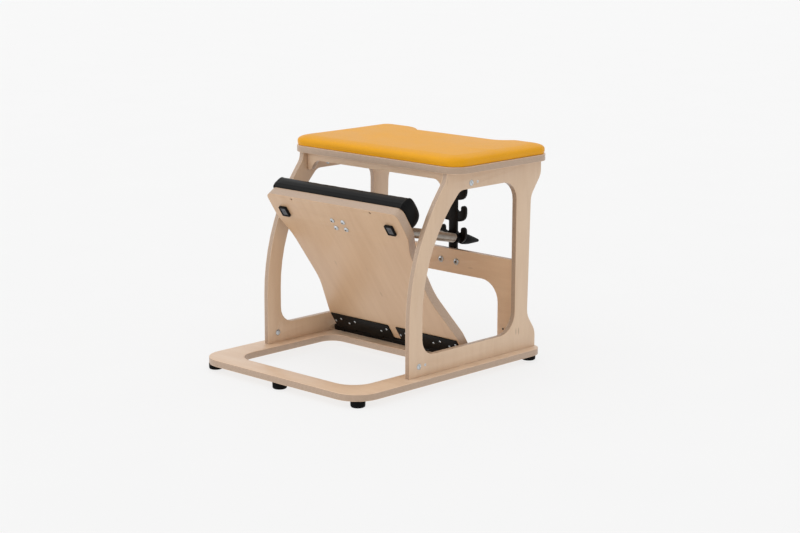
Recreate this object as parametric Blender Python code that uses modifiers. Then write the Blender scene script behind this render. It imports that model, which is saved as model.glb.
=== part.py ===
"""Pilates chair: a plywood seat on two arched side panels, with a pedal board that hinges on the base
and is held up by two extension springs. Metres, Z up. The pedal's side is the front, at -Y, and +X
is to the right of someone who looks at it from there. Y is measured from the base board's front edge,
and the empty chair_origin then sets the middle of the whole chair over the world's origin, with the
feet on Z = 0."""

from math import acos, atan2, ceil, cos, hypot, pi, radians, sin, tan

import bmesh
import bpy
import numpy as np
from mathutils import Matrix, Vector

GAP = 0.0003                    # between two pieces that touch
ARC_ERROR = 0.0005              # how far a chord may leave its arc

# Feet and base board
FOOT_RADIUS = 0.0195
FOOT_HEIGHT = 0.018
FOOT_FROM_SIDE = 0.033          # centre of a corner foot from the base board's edges
FOOT_FROM_FRONT = 0.036
FOOT_FROM_BACK = 0.028
MIDDLE_FOOT_FROM_FRONT = 0.019
BASE_WIDTH = 0.610
BASE_LENGTH = 0.735
BASE_THICKNESS = 0.018
BASE_FRONT_CORNER = 0.073
BASE_BACK_CORNER = 0.042
CUTOUT_SIDE_RAIL = 0.076        # base board left beside the cut-out
CUTOUT_FRONT_RAIL = 0.065       # base board left in front of it
CUTOUT_LENGTH = 0.3705
CUTOUT_FRONT_CORNER = 0.065
CUTOUT_BACK_CORNER = 0.042
NOTCH_SIDE_RAIL = 0.133         # base board left beside the notch in its back edge
NOTCH_DEPTH = 0.162
NOTCH_CORNER = 0.060            # radius of its inner corners
NOTCH_MOUTH_CORNER = 0.020      # radius where it opens in the back edge

# Side panels
PANEL_THICKNESS = 0.015
PANEL_FROM_EDGE = 0.028         # outer face to the base board's edge
PANEL_SPACING = BASE_WIDTH - 2 * (PANEL_FROM_EDGE + PANEL_THICKNESS)    # between the inner faces
PANEL_HEIGHT = 0.5234
LEG_FRONT = 0.220               # front edge of the front leg
LEG_WIDTH = 0.049
TOP_FRONT = 0.359               # front edge at the seat
TOP_BACK = 0.741
WAIST_BACK = 0.698              # back edge between seat and foot
FOOT_BACK = 0.726
ARCH_RADIUS = 0.555
WINDOW_RADIUS = 0.430
WINDOW_BACK = 0.640
WINDOW_TOP_RAIL = 0.049
WINDOW_BOTTOM_RAIL = 0.052
ARCH_DROP = 0.189               # from the panel's top to where the front leg's arch begins
NOSE_DROP = 0.0173              # height of the upright edge in front of the seat
SHOULDER_DROP = 0.042           # height of the back corner under the seat
WAIST_DROP = 0.098              # where the waist begins, under the panel's top
WAIST_LOW = 0.094               # where it begins to flare, over the panel's bottom
FOOT_EDGE = 0.045               # height of the upright edge at the foot
WINDOW_ARCH_DROP = 0.136        # from the window's top to where its arch begins
WINDOW_ARCH_RUN = 0.1437        # and how far back the arch runs
WINDOW_SHOULDER_RADIUS = 0.053  # of the window's back upper corner
BARREL_LOW = (0.037, 0.0274)    # low barrel nut, from the leg's front and the panel's bottom
BARREL_HIGH = (0.096, 0.034)    # high one, from the seat's front edge and the panel's top

# Back panel and front apron
BACK_FRONT_FACE = 0.674
BACK_THICKNESS = 0.015
BACK_HEIGHT = 0.2444
BACK_RAIL = 0.069               # height of the rail over the arch
BACK_LEG = 0.077                # width of each leg
BACK_ARCH_RADIUS = 0.060
APRON_FRONT = 0.374
APRON_THICKNESS = 0.015
APRON_HEIGHT = 0.0205
APRON_END_HEIGHT = 0.048
APRON_END_WIDTH = 0.014

# Seat board and pad
SEAT_WIDTH = BASE_WIDTH + 0.0174
SEAT_FRONT = 0.355
SEAT_LENGTH = 0.391
SEAT_THICKNESS = 0.018
SEAT_CORNER = 0.050
RECESS_WIDTH = 0.340            # between the middles of the two S bends at the back
RECESS_DEPTH = 0.035
RECESS_SLOPE = 0.017            # half the width that an S bend takes
RECESS_CORNER = 0.030           # radius of its bends
PAD_INSET = 0.0015
PAD_HEIGHT = 0.0295
# The pad's section, as (how far in from its edge, height)
PAD_SECTION = ((0.030, 0), (0.004, 0), (0, 0.0045), (-0.001, 0.014), (0.002, 0.0215),
               (0.012, 0.0275), (0.028, 0.0290), (0.044, PAD_HEIGHT))

# Pedal, in the pedal's own frame: the hinge axis is its origin, the board lies level in front of it
PEDAL_RAISED = radians(56.9)    # the board's slope at rest, which is also the hinge's travel
PEDAL_HINGE_Y = 0.478
PEDAL_ROOT = 0.0125             # from the axis to the board's near edge
PEDAL_LENGTH = 0.492
PEDAL_THICKNESS = 0.027
PEDAL_ROOT_WIDTH = PANEL_SPACING - 0.035
PEDAL_ROOT_STRAIGHT = 0.052     # how far its sides run straight on from the near edge
PEDAL_WAIST_WIDTH = PANEL_SPACING - 0.106
PEDAL_TOP_WIDTH = PANEL_SPACING - 0.031
# Half of the board's outline, as (x, distance from the near edge, corner radius)
PEDAL_OUTLINE = ((PEDAL_ROOT_WIDTH / 2, 0, 0.004),
                 (PEDAL_ROOT_WIDTH / 2, PEDAL_ROOT_STRAIGHT, 0.030),
                 (PEDAL_WAIST_WIDTH / 2, 0.376 * PEDAL_LENGTH, 0.170),
                 (PEDAL_WAIST_WIDTH / 2 + 0.013, 0.711 * PEDAL_LENGTH, 0.150),
                 (PEDAL_TOP_WIDTH / 2, 0.833 * PEDAL_LENGTH, 0.060),
                 (PEDAL_TOP_WIDTH / 2, PEDAL_LENGTH, 0.018))
ROLL_WIDTH = PANEL_SPACING - 0.031
ROLL_CENTRE = 0.470             # middle of the foot roll, from the hinge axis along the board
ROLL_HEIGHT = 0.0485
# The roll's section, as (towards the pedal's free end from its middle, over its flat side)
ROLL_SECTION = ((0.036, 0), (0.039, 0.008), (0.0395, 0.020), (0.039, 0.032), (0.0355, 0.041),
                (0.027, 0.0465), (0.012, ROLL_HEIGHT), (-0.008, 0.048), (-0.023, 0.0455),
                (-0.032, 0.0395), (-0.0375, 0.030), (-0.0395, 0.018), (-0.0385, 0.007), (-0.035, 0))
ROLL_ENDS = ((0, 0.72), (0.003, 0.92), (0.0085, 1.0))    # (from the end, share of the full section)
ROLL_SCREW_X = ROLL_WIDTH / 2 - 0.0985
BUMPER_X = PEDAL_TOP_WIDTH / 2 - 0.047
BUMPER_FROM_ROOT = 0.436
BUMPER_WIDTH = 0.028
BUMPER_LENGTH = 0.032

# Pedal hinge
LEAF_THICKNESS = 0.003
KNUCKLE_RADIUS = 0.0058
KNUCKLE_LIFT = 0.0008           # running clearance under a pedal knuckle
HINGE_PIN_RADIUS = 0.0025
HINGE_LENGTH = PANEL_SPACING - 0.010
PEDAL_LEAF_LENGTH = HINGE_LENGTH / 2 - 0.032
PEDAL_LEAF_WIDTH = 0.051
PEDAL_LEAF_FROM_AXIS = 0.0085
PEDAL_LEAF_START = 0.015        # inner end of a pedal leaf, from the middle of the chair
PEDAL_KNUCKLES = ((0.2, 0.42), (0.67, 0.89))    # (start, end), as shares of a pedal leaf's length
BASE_LEAF_BACK = 0.042
BASE_KNUCKLE_WEB = 0.004        # half the width of the web under a base knuckle

# Spring tree: a steel plate with three pairs of hooked arms, bolted behind the back rail
TREE_THICKNESS = 0.008
TREE_TRUNK = 0.014              # half width of the post
TREE_ARM = 0.0486               # reach of an arm
TREE_MOUTH = 0.031              # outer side of the mouth
TREE_PITCH = 0.0615
TREE_LEVELS = 3
TREE_FOOT_HALF = 0.042
TREE_FOOT_TOP = 0.269
TREE_FOOT_HEIGHT = 0.045
TREE_BOLT_X = 0.029
TREE_BOLT_Z = 0.2467
# Heights over the bottom of a slit: arm's underside at its root and tip, arm's tip, slit's mouth
ARM_ROOT = -0.0080
ARM_UNDER = -0.0070
ARM_TIP = 0.0385
ARM_MOUTH = 0.023
POST_TOP = 0.044                # top of the post over the highest slit's bottom
SLIT_WIDTH = 0.007
ARM_ROUNDING = 0.024            # of an arm's lower outer corner

# Springs and the bracket behind the pedal
SPRING_X = 0.0215
SPRING_SEAT_Z = 0.310           # where a spring's neck sits in the lowest slit
SPRING_RADIUS = 0.0135
WIRE_RADIUS = 0.0015
CURLS = 26
POINTS_PER_CURL = 8
CUP_RADIUS = 0.0155
REAR_CUP_START = 0.0103
CUP_LENGTH = 0.0122
NECK_RADIUS = 0.003
KNOB_START = 0.0107
KNOB_LENGTH = 0.0733
# Outer side of the knob, as (radius, distance from its collar)
KNOB_SIDE = ((0.0145, 0), (0.0155, 0.002), (0.0155, 0.009), (0.0148, 0.018), (0.0122, 0.035),
             (0.0087, 0.050), (0.0057, 0.064), (0.0038, 0.0715))
KNOB_BORE = 0.030               # how deep the rod goes into the knob
ROD_STOP = 0.006                # thickness of the rod's disc inside the coil
PIN_FROM_ROOT = 0.375
PIN_RISE = 0.017                # pin centre over the board's back face
BRACKET_PIN_RADIUS = 0.004
BRACKET_HALF = 0.038
BRACKET_THICKNESS = 0.003
BRACKET_LENGTH = 0.083
BRACKET_BOLTS = ((0.019, 0.043), (0.020, 0.069))    # (x, distance from the plate's near edge)
BRACKET_BEFORE_PIN = 0.013      # plate's near edge to the pin
BRACKET_NUT_ROOM = 0.012        # height kept free for plate, nuts and bolt ends
EYE_WIRE_RADIUS = 0.0025
EYE_RADIUS = 0.0085             # of the wire's centre line
FRONT_CUP_SPACE = 0.046         # from the pin to the front cup's outer face
FRONT_CUP_BORE = 0.0085
EYE_SHANK_RADIUS = 0.003
EYE_SHANK_LENGTH = 0.080
EYE_FLANGE_THICKNESS = 0.003

# Heights and places that follow
BASE_BOTTOM = FOOT_HEIGHT + GAP
BASE_TOP = BASE_BOTTOM + BASE_THICKNESS
PANEL_BOTTOM = BASE_TOP + GAP
PANEL_TOP = PANEL_BOTTOM + PANEL_HEIGHT
PANEL_MIDDLE_X = PANEL_SPACING / 2 + PANEL_THICKNESS / 2
BACK_REAR_FACE = BACK_FRONT_FACE + BACK_THICKNESS
SEAT_BOTTOM = PANEL_TOP + GAP
SEAT_TOP = SEAT_BOTTOM + SEAT_THICKNESS
TREE_FRONT = BACK_REAR_FACE + GAP
HINGE_Z = BASE_TOP + GAP + LEAF_THICKNESS + KNUCKLE_LIFT + KNUCKLE_RADIUS
PEDAL_UNDER = LEAF_THICKNESS + GAP - KNUCKLE_RADIUS
PEDAL_OVER = PEDAL_UNDER + PEDAL_THICKNESS
BUMPER_HEIGHT = HINGE_Z + PEDAL_UNDER - BASE_TOP - 2 * GAP
SPRING_SEAT_Y = TREE_FRONT + TREE_THICKNESS / 2
PIN_FROM_AXIS = PEDAL_ROOT + PIN_FROM_ROOT
PIN_OVER_AXIS = PEDAL_OVER + PIN_RISE
BRACKET_START = PIN_FROM_AXIS - BRACKET_BEFORE_PIN


def swung(along, over, raised):
    """World Y and Z of a point of the pedal's frame with the pedal raised by this angle."""
    y = PEDAL_HINGE_Y - along * cos(raised) + over * sin(raised)
    z = HINGE_Z + along * sin(raised) + over * cos(raised)
    return y, z


def spring_line(raised):
    """Length from the rear seat to the pin, and the line's angle from upright towards the front."""
    y, z = swung(PIN_FROM_AXIS, PIN_OVER_AXIS, raised)
    return hypot(SPRING_SEAT_Y - y, z - SPRING_SEAT_Z), atan2(SPRING_SEAT_Y - y, z - SPRING_SEAT_Z)


SPRING_LENGTH, SPRING_TILT = spring_line(PEDAL_RAISED)
PRESSED_LENGTH, PRESSED_TILT = spring_line(0)
CHAIR_BACK = SPRING_SEAT_Y + (KNOB_START + KNOB_LENGTH) * sin(SPRING_TILT)

for old in list(bpy.data.objects):
    bpy.data.objects.remove(old)
chair = bpy.data.collections.new("pilates_chair")
cutters = bpy.data.collections.new("cutters")
for collection in (chair, cutters):
    bpy.context.scene.collection.children.link(collection)


def material(name, colour, roughness, metallic=0.0):
    made = bpy.data.materials.new(name)
    made.use_nodes = True
    surface = made.node_tree.nodes["Principled BSDF"]
    surface.inputs["Base Color"].default_value = (*colour, 1)
    surface.inputs["Roughness"].default_value = roughness
    surface.inputs["Metallic"].default_value = metallic
    return made


PLY = material("birch_ply", (0.62, 0.50, 0.34), 0.5)
RUBBER = material("black_rubber", (0.02, 0.02, 0.02), 0.7)
PAD_VINYL = material("orange_vinyl", (0.79, 0.42, 0.09), 0.45)
ROLL_VINYL = material("black_vinyl", (0.02, 0.02, 0.022), 0.45)
BLACK_STEEL = material("black_steel", (0.03, 0.027, 0.025), 0.4, 0.6)
ZINC = material("zinc_plate", (0.62, 0.62, 0.60), 0.35, 1.0)
SPRING_STEEL = material("spring_steel", (0.38, 0.35, 0.31), 0.4, 1.0)
BLACK_PLASTIC = material("black_plastic", (0.02, 0.02, 0.02), 0.4)


def empty(name, location, parent=None, tilt=0.0):
    made = bpy.data.objects.new(name, None)
    chair.objects.link(made)
    made.parent = parent
    made.location = location
    made.rotation_euler = (tilt, 0, 0)
    made.empty_display_size = 0.02
    return made


def filleted(corners):
    """A closed outline, each corner (a, b, radius) rounded by an arc that its edges have room for."""
    points = [Vector(c[:2]) for c in corners]
    n = len(points)
    back = [(points[i - 1] - points[i]).normalized() for i in range(n)]
    on = [(points[(i + 1) % n] - points[i]).normalized() for i in range(n)]
    half = [acos(max(-1, min(1, back[i].dot(on[i])))) / 2 for i in range(n)]
    reach = [corners[i][2] / tan(half[i]) for i in range(n)]
    room = [(points[(i + 1) % n] - points[i]).length * 0.999 for i in range(n)]
    fit = [min(1, room[i] / max(1e-9, reach[i] + reach[(i + 1) % n])) for i in range(n)]
    outline = []
    for i in range(n):
        length = reach[i] * min(fit[i - 1], fit[i])
        radius = length * tan(half[i])
        if radius < ARC_ERROR:
            outline.append(points[i])
            continue
        turn = pi - 2 * half[i]
        step = min(radians(45), 2 * acos(1 - ARC_ERROR / radius))
        count = max(1, ceil(turn / step))
        centre = points[i] + (back[i] + on[i]).normalized() * radius / sin(half[i])
        start = points[i] + back[i] * length - centre
        side = 1 if back[i].cross(on[i]) < 0 else -1
        for k in range(count + 1):
            angle = side * turn * k / count
            outline.append(centre + Matrix.Rotation(angle, 2) @ start)
    return outline


def mirrored(corners):
    """The corners of a half outline, with those of its mirror image across the first coordinate."""
    return corners + [(-a, b, r) for a, b, r in reversed(corners)]


def circle(radius, sides, centre=(0, 0)):
    steps = [2 * pi * k / sides for k in range(sides)]
    return [Vector((centre[0] + radius * cos(t), centre[1] + radius * sin(t))) for t in steps]


def as_mesh(curve_object):
    """Turns a curve into a welded mesh object of the same name, so that it can be cut."""
    bpy.context.view_layer.update()
    seen = curve_object.evaluated_get(bpy.context.evaluated_depsgraph_get())
    mesh = bpy.data.meshes.new_from_object(seen)
    bm = bmesh.new()
    bm.from_mesh(mesh)
    bmesh.ops.remove_doubles(bm, verts=bm.verts, dist=1e-6)
    bmesh.ops.recalc_face_normals(bm, faces=bm.faces)
    bm.to_mesh(mesh)
    bm.free()
    name, matrix = curve_object.name, curve_object.matrix_world.copy()
    bpy.data.objects.remove(curve_object)
    made = bpy.data.objects.new(name, mesh)
    made.matrix_world = matrix
    return made


def plate_mesh(outlines, thickness, matrix=Matrix.Identity(4)):
    """A flat board on the plane Z = 0 of the matrix, from its outline and the outlines of its holes."""
    curve = bpy.data.curves.new("outline", "CURVE")
    curve.dimensions = "2D"
    curve.fill_mode = "BOTH"
    curve.extrude = thickness / 2
    for outline in outlines:
        spline = curve.splines.new("POLY")
        spline.points.add(len(outline) - 1)
        for point, corner in zip(spline.points, outline):
            point.co = (corner[0], corner[1], 0, 1)
        spline.use_cyclic_u = True
    flat = bpy.data.objects.new("outline", curve)
    bpy.context.scene.collection.objects.link(flat)
    made = as_mesh(flat)
    mesh = made.data
    bpy.data.objects.remove(made)
    mesh.transform(matrix @ Matrix.Translation((0, 0, thickness / 2)))
    return mesh


def turned_mesh(profile, sides):
    """A solid turned about Z from a profile (radius, height) that runs down its outer side."""
    mesh = bpy.data.meshes.new("profile")
    closed = profile[0][0] > 0
    edges = [(i, i + 1) for i in range(len(profile) - 1)]
    if closed:
        edges.append((len(profile) - 1, 0))
    mesh.from_pydata([(r, 0, z) for r, z in profile], edges, [])
    seed = bpy.data.objects.new("profile", mesh)
    bpy.context.scene.collection.objects.link(seed)
    screw = seed.modifiers.new("turn", "SCREW")
    screw.steps = screw.render_steps = sides
    screw.use_merge_vertices = True
    screw.merge_threshold = 0.00005
    made = as_mesh(seed)
    turned = made.data
    bpy.data.objects.remove(made)
    return turned


def copies(mesh, places):
    """One mesh that holds a copy of this one at each place (a matrix)."""
    bm = bmesh.new()
    for place in places:
        copy = mesh.copy()
        copy.transform(place)
        bm.from_mesh(copy)
        bpy.data.meshes.remove(copy)
    joined = bpy.data.meshes.new(mesh.name)
    bm.to_mesh(joined)
    bm.free()
    return joined


def piece(name, mesh, surface, parent, location=(0, 0, 0)):
    made = bpy.data.objects.new(name, mesh)
    chair.objects.link(made)
    made.parent = parent
    made.location = location
    mesh.materials.clear()
    mesh.materials.append(surface)
    mesh.shade_smooth()
    mesh.set_sharp_from_angle(angle=radians(30))
    return made


def boolean(target, mesh, operation, name):
    """Cuts a mesh, given in the target's parent's frame, out of the target, or joins it on."""
    tool = bpy.data.objects.new(name, mesh)
    cutters.objects.link(tool)
    tool.parent = target.parent
    tool.hide_render = True
    tool.display_type = "WIRE"
    modifier = target.modifiers.new(name, "BOOLEAN")
    modifier.operation = operation
    modifier.object = tool


def aimed(place, direction):
    """The matrix that sets a turned piece's origin at a place with its Z along a direction."""
    turn = Vector(direction).to_track_quat("Z", "Y").to_matrix().to_4x4()
    return Matrix.Translation(place) @ turn


def fasteners(names, places, head, shank, surface, parent, through, sunk=0.0):
    """A screw or bolt for each name, at a (place, direction) that points out through its head.
    head and shank are (radius, length). The pieces in through are drilled for the shank, and for
    the head too where that is sunk below the place."""
    head_radius, head_height = head
    shank_radius, length = shank
    profile = [(0, head_height), (0.6 * head_radius, 0.9 * head_height),
               (head_radius, 0.4 * head_height), (head_radius, 0),
               (shank_radius, 0), (shank_radius, -length), (0, -length)]
    above = sunk + head_height
    wide, narrow = head_radius + GAP, shank_radius + GAP
    pocket = [(wide, above), (wide, -GAP), (narrow, -GAP)] if sunk else [(narrow, above)]
    hole = [(0, above), *pocket, (narrow, -length - GAP), (0, -length - GAP)]
    spots = [aimed(place, way) @ Matrix.Translation((0, 0, GAP - sunk)) for place, way in places]
    for name, spot in zip(names, spots):
        piece(name, copies(turned_mesh(profile, 12), [spot]), surface, parent)
    for target in through:
        boolean(target, copies(turned_mesh(hole, 12), spots), "DIFFERENCE",
                names[0] + "_holes_in_" + target.name)


def each_side(name, count=1):
    """Names for pieces that stand left and right, with a number where each side has several."""
    numbers = ["_%d" % (k + 1) for k in range(count)] if count > 1 else [""]
    return [name + "_" + SIDE_NAMES[side] + number for number in numbers for side in SIDES]


UP, DOWN = (0, 0, 1), (0, 0, -1)
SIDES = (-1, 1)
SIDE_NAMES = {-1: "left", 1: "right"}
# Planes for outlines: across the chair (x, z) facing back to front, and along it (y, z)
ACROSS = Matrix(((1, 0, 0, 0), (0, 0, -1, 0), (0, 1, 0, 0), (0, 0, 0, 1)))
ALONG = Matrix(((0, 0, 1, 0), (1, 0, 0, 0), (0, 1, 0, 0), (0, 0, 0, 1)))

origin = empty("chair_origin", (0, -CHAIR_BACK / 2, 0))


def base_and_feet():
    half = BASE_WIDTH / 2
    cut_half = half - CUTOUT_SIDE_RAIL
    cut_back = CUTOUT_FRONT_RAIL + CUTOUT_LENGTH
    notch_half = half - NOTCH_SIDE_RAIL
    outer = mirrored([(half, 0, BASE_FRONT_CORNER),
                      (half, BASE_LENGTH, BASE_BACK_CORNER),
                      (notch_half, BASE_LENGTH, NOTCH_MOUTH_CORNER),
                      (notch_half, BASE_LENGTH - NOTCH_DEPTH, NOTCH_CORNER)])
    cut = mirrored([(cut_half, CUTOUT_FRONT_RAIL, CUTOUT_FRONT_CORNER),
                    (cut_half, cut_back, CUTOUT_BACK_CORNER)])
    mesh = plate_mesh([filleted(outer), filleted(cut)], BASE_THICKNESS)
    base = piece("base_board", mesh, PLY, origin, (0, 0, BASE_BOTTOM))

    recess, recess_radius, bore, edge = 0.006, 0.0062, 0.0025, 0.0015
    profile = [(bore, FOOT_HEIGHT), (FOOT_RADIUS, FOOT_HEIGHT), (FOOT_RADIUS, edge),
               (FOOT_RADIUS - edge, 0), (recess_radius, 0), (recess_radius, recess), (bore, recess)]
    foot = turned_mesh(profile, 16)
    side, front = half - FOOT_FROM_SIDE, FOOT_FROM_FRONT
    back = BASE_LENGTH - FOOT_FROM_BACK
    spots = {"front_left": (-side, front), "front_middle": (0, MIDDLE_FOOT_FROM_FRONT),
             "front_right": (side, front), "back_left": (-side, back), "back_right": (side, back)}
    for name, (x, y) in spots.items():
        piece("foot_" + name, foot.copy(), RUBBER, origin, (x, y, 0))
    return base


def side_panels():
    top, bottom = PANEL_TOP, PANEL_BOTTOM
    window_front = LEG_FRONT + LEG_WIDTH
    window_top = top - WINDOW_TOP_RAIL
    window_bottom = bottom + WINDOW_BOTTOM_RAIL
    outer = [(LEG_FRONT, bottom, 0), (LEG_FRONT, top - ARCH_DROP, ARCH_RADIUS),
             (TOP_FRONT, top - NOSE_DROP, 0.040), (TOP_FRONT, top, 0), (TOP_BACK, top, 0),
             (TOP_BACK, top - SHOULDER_DROP, 0.035), (WAIST_BACK + 0.002, top - WAIST_DROP, 0.045),
             (WAIST_BACK - 0.0065, bottom + WAIST_LOW, 0.050), (FOOT_BACK, bottom + FOOT_EDGE, 0.045),
             (FOOT_BACK, bottom, 0)]
    window = [(window_front, window_bottom, 0.045),
              (window_front, window_top - WINDOW_ARCH_DROP, WINDOW_RADIUS),
              (window_front + WINDOW_ARCH_RUN, window_top, 0.030),
              (WINDOW_BACK, window_top, WINDOW_SHOULDER_RADIUS), (WINDOW_BACK, window_bottom, 0.060)]
    panels = []
    for side in SIDES:
        mesh = plate_mesh([filleted(outer), filleted(window)], PANEL_THICKNESS, ALONG)
        x = side * PANEL_MIDDLE_X - PANEL_THICKNESS / 2
        panels.append(piece("side_panel_" + SIDE_NAMES[side], mesh, PLY, origin, (x, 0, 0)))
    return panels


def back_panel_and_apron():
    half = PANEL_SPACING / 2 - GAP
    top = PANEL_BOTTOM + BACK_HEIGHT
    inner = half - BACK_LEG
    outline = mirrored([(inner, top - BACK_RAIL, BACK_ARCH_RADIUS), (inner, PANEL_BOTTOM, 0),
                        (half, PANEL_BOTTOM, 0), (half, top, 0)])
    mesh = plate_mesh([filleted(outline)], BACK_THICKNESS, ACROSS)
    back = piece("back_panel", mesh, PLY, origin, (0, BACK_REAR_FACE, 0))
    end = half - APRON_END_WIDTH
    outline = mirrored([(end - 0.018, PANEL_TOP - APRON_HEIGHT, 0.025),
                        (end, PANEL_TOP - APRON_END_HEIGHT, 0.004),
                        (half, PANEL_TOP - APRON_END_HEIGHT, 0), (half, PANEL_TOP, 0)])
    mesh = plate_mesh([filleted(outline)], APRON_THICKNESS, ACROSS)
    piece("front_apron", mesh, PLY, origin, (0, APRON_FRONT + APRON_THICKNESS, 0))
    return back


def seat_corners(inset):
    """The seat's outline drawn in by an inset: round corners, two ears and a recess behind."""
    half = SEAT_WIDTH / 2 - inset
    front = SEAT_FRONT + inset
    back = SEAT_FRONT + SEAT_LENGTH - inset
    bend = RECESS_WIDTH / 2 + 0.6 * inset
    corner, outward = [max(0.004, radius - inset) for radius in (SEAT_CORNER, RECESS_CORNER)]
    return mirrored([(half, front, corner), (half, back, corner),
                     (bend + RECESS_SLOPE, back, outward),
                     (bend - RECESS_SLOPE, back - RECESS_DEPTH, RECESS_CORNER + inset)])


def seat():
    board = piece("seat_board", plate_mesh([filleted(seat_corners(0))], SEAT_THICKNESS), PLY, origin,
                  (0, 0, SEAT_BOTTOM))
    corners = seat_corners(0)
    lengths = [hypot(a[0] - b[0], a[1] - b[1]) for a, b in zip(corners, corners[1:] + corners[:1])]
    long_edge, short_edge = 0.45, 0.15
    extras = [3 if length > long_edge else 1 if length > short_edge else 0 for length in lengths]
    bm = bmesh.new()
    rings = []
    for inset, height in PAD_SECTION:
        outline = seat_ring(seat_corners(PAD_INSET + inset), 3, extras)
        rings.append([bm.verts.new((p[0], p[1], height)) for p in outline])
    for low, high in zip(rings, rings[1:]):
        for i in range(len(low)):
            j = (i + 1) % len(low)
            bm.faces.new((low[i], low[j], high[j], high[i]))
    bm.faces.new(reversed(rings[0]))
    bm.faces.new(rings[-1])
    bmesh.ops.recalc_face_normals(bm, faces=bm.faces)
    mesh = bpy.data.meshes.new("seat_pad")
    bm.to_mesh(mesh)
    bm.free()
    pad = piece("seat_pad", mesh, PAD_VINYL, origin, (0, 0, SEAT_TOP + GAP))
    soft = pad.modifiers.new("soft", "SUBSURF")
    soft.levels = soft.render_levels = 1
    return board


def seat_ring(corners, count, extras):
    """Points round an outline: count at each corner, and the extras given for each edge."""
    points = [Vector(c[:2]) for c in corners]
    n = len(points)
    ring = []
    for i in range(n):
        back = (points[i - 1] - points[i]).normalized()
        on = (points[(i + 1) % n] - points[i]).normalized()
        half = acos(max(-1, min(1, back.dot(on)))) / 2
        length = min(corners[i][2] / tan(half), 0.45 * (points[(i + 1) % n] - points[i]).length,
                     0.45 * (points[i - 1] - points[i]).length)
        radius = length * tan(half)
        centre = points[i] + (back + on).normalized() * radius / sin(half)
        start = points[i] + back * length - centre
        turn = (pi - 2 * half) * (1 if back.cross(on) < 0 else -1)
        for k in range(count):
            ring.append(centre + Matrix.Rotation(turn * k / (count - 1), 2) @ start)
        far = points[(i + 1) % n] - on * length
        near = points[i] + on * length
        ring += [near.lerp(far, (k + 1) / (extras[i] + 1)) for k in range(extras[i])]
    return ring


def panel_joinery(base, seat_board, panels):
    """What holds the panels: barrel nuts through them, with bolts from the base and from the seat."""
    barrel_radius, bolt_radius = 0.008, 0.004
    low = (LEG_FRONT + BARREL_LOW[0], PANEL_BOTTOM + BARREL_LOW[1])
    high = (TOP_FRONT + BARREL_HIGH[0], PANEL_TOP - BARREL_HIGH[1])
    half = PANEL_THICKNESS / 2
    barrel = turned_mesh([(0, half), (barrel_radius, half), (barrel_radius, -half), (0, -half)], 24)
    wide = barrel_radius + GAP
    hole = turned_mesh([(0, 2 * half), (wide, 2 * half), (wide, -2 * half), (0, -2 * half)], 24)
    nuts = {DOWN: [], UP: []}
    for side, panel in zip(SIDES, panels):
        for level, way, (y, z) in (("low", DOWN, low), ("high", UP, high)):
            spot = aimed((side * PANEL_MIDDLE_X, y, z), (side, 0, 0))
            name = "barrel_nut_%s_%s" % (level, SIDE_NAMES[side])
            nuts[way].append(piece(name, copies(barrel, [spot]), ZINC, origin))
            boolean(panel, copies(hole, [spot]), "DIFFERENCE", name + "_hole")

    into_barrel, head_height = 0.005, 0.003
    runs = (("base_bolt", DOWN, base, BASE_BOTTOM, low), ("seat_bolt", UP, seat_board, SEAT_TOP, high))
    for name, way, board, start, (y, z) in runs:
        places = [((side * PANEL_MIDDLE_X, y, start), way) for side in SIDES]
        length = abs(start - z) + into_barrel - head_height - GAP
        fasteners(each_side(name), places, (0.007, head_height), (bolt_radius, length),
                  ZINC, origin, [board, *nuts[way], *panels], sunk=head_height + GAP)


def pedal_board():
    outline = filleted(mirrored([(x, -PEDAL_ROOT - along, r) for x, along, r in PEDAL_OUTLINE]))
    return piece("pedal_board", plate_mesh([outline], PEDAL_THICKNESS), PLY, pedal_pivot,
                 (0, 0, PEDAL_UNDER))


def foot_roll(board):
    """The padded roll: flat on the board, rounded over, between two slightly domed ends."""
    flat = PEDAL_OVER + GAP
    section = [(along, flat + over) for along, over in ROLL_SECTION]
    middle = flat + ROLL_HEIGHT / 2
    half = ROLL_WIDTH / 2
    stations = [(half - inward, share) for inward, share in ROLL_ENDS]
    stations += [(0, 1.0)] + [(-x, share) for x, share in reversed(stations)]
    bm = bmesh.new()
    rings = []
    for x, share in stations:
        ring = []
        for along, over in section:
            high = max(flat, middle + (over - middle) * share)
            ring.append(bm.verts.new((x, -ROLL_CENTRE - along * share, high)))
        rings.append(ring)
    for a, b in zip(rings, rings[1:]):
        for i in range(len(a)):
            j = (i + 1) % len(a)
            bm.faces.new((a[i], a[j], b[j], b[i]))
    bm.faces.new(reversed(rings[0]))
    bm.faces.new(rings[-1])
    bmesh.ops.recalc_face_normals(bm, faces=bm.faces)
    mesh = bpy.data.meshes.new("pedal_roll")
    bm.to_mesh(mesh)
    bm.free()
    roll = piece("pedal_roll", mesh, ROLL_VINYL, pedal_pivot)
    room, below, past = 0.002, 0.001, 0.1
    relief_half = BRACKET_HALF + room
    relief_top = -BRACKET_START - BRACKET_LENGTH
    relief = [(-relief_half, relief_top - room), (relief_half, relief_top - room),
              (relief_half, relief_top + past), (-relief_half, relief_top + past)]
    mesh = plate_mesh([relief], BRACKET_NUT_ROOM + below, Matrix.Translation((0, 0, flat - below)))
    boolean(roll, mesh, "DIFFERENCE", "bracket_relief")
    from_end = 0.008
    places = [((side * ROLL_SCREW_X, from_end - PEDAL_ROOT - PEDAL_LENGTH, PEDAL_UNDER), DOWN)
              for side in SIDES]
    fasteners(each_side("roll_screw"), places, (0.0032, 0.002), (0.002, 0.036), ZINC, pedal_pivot,
              [board, roll], sunk=0.008)


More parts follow.
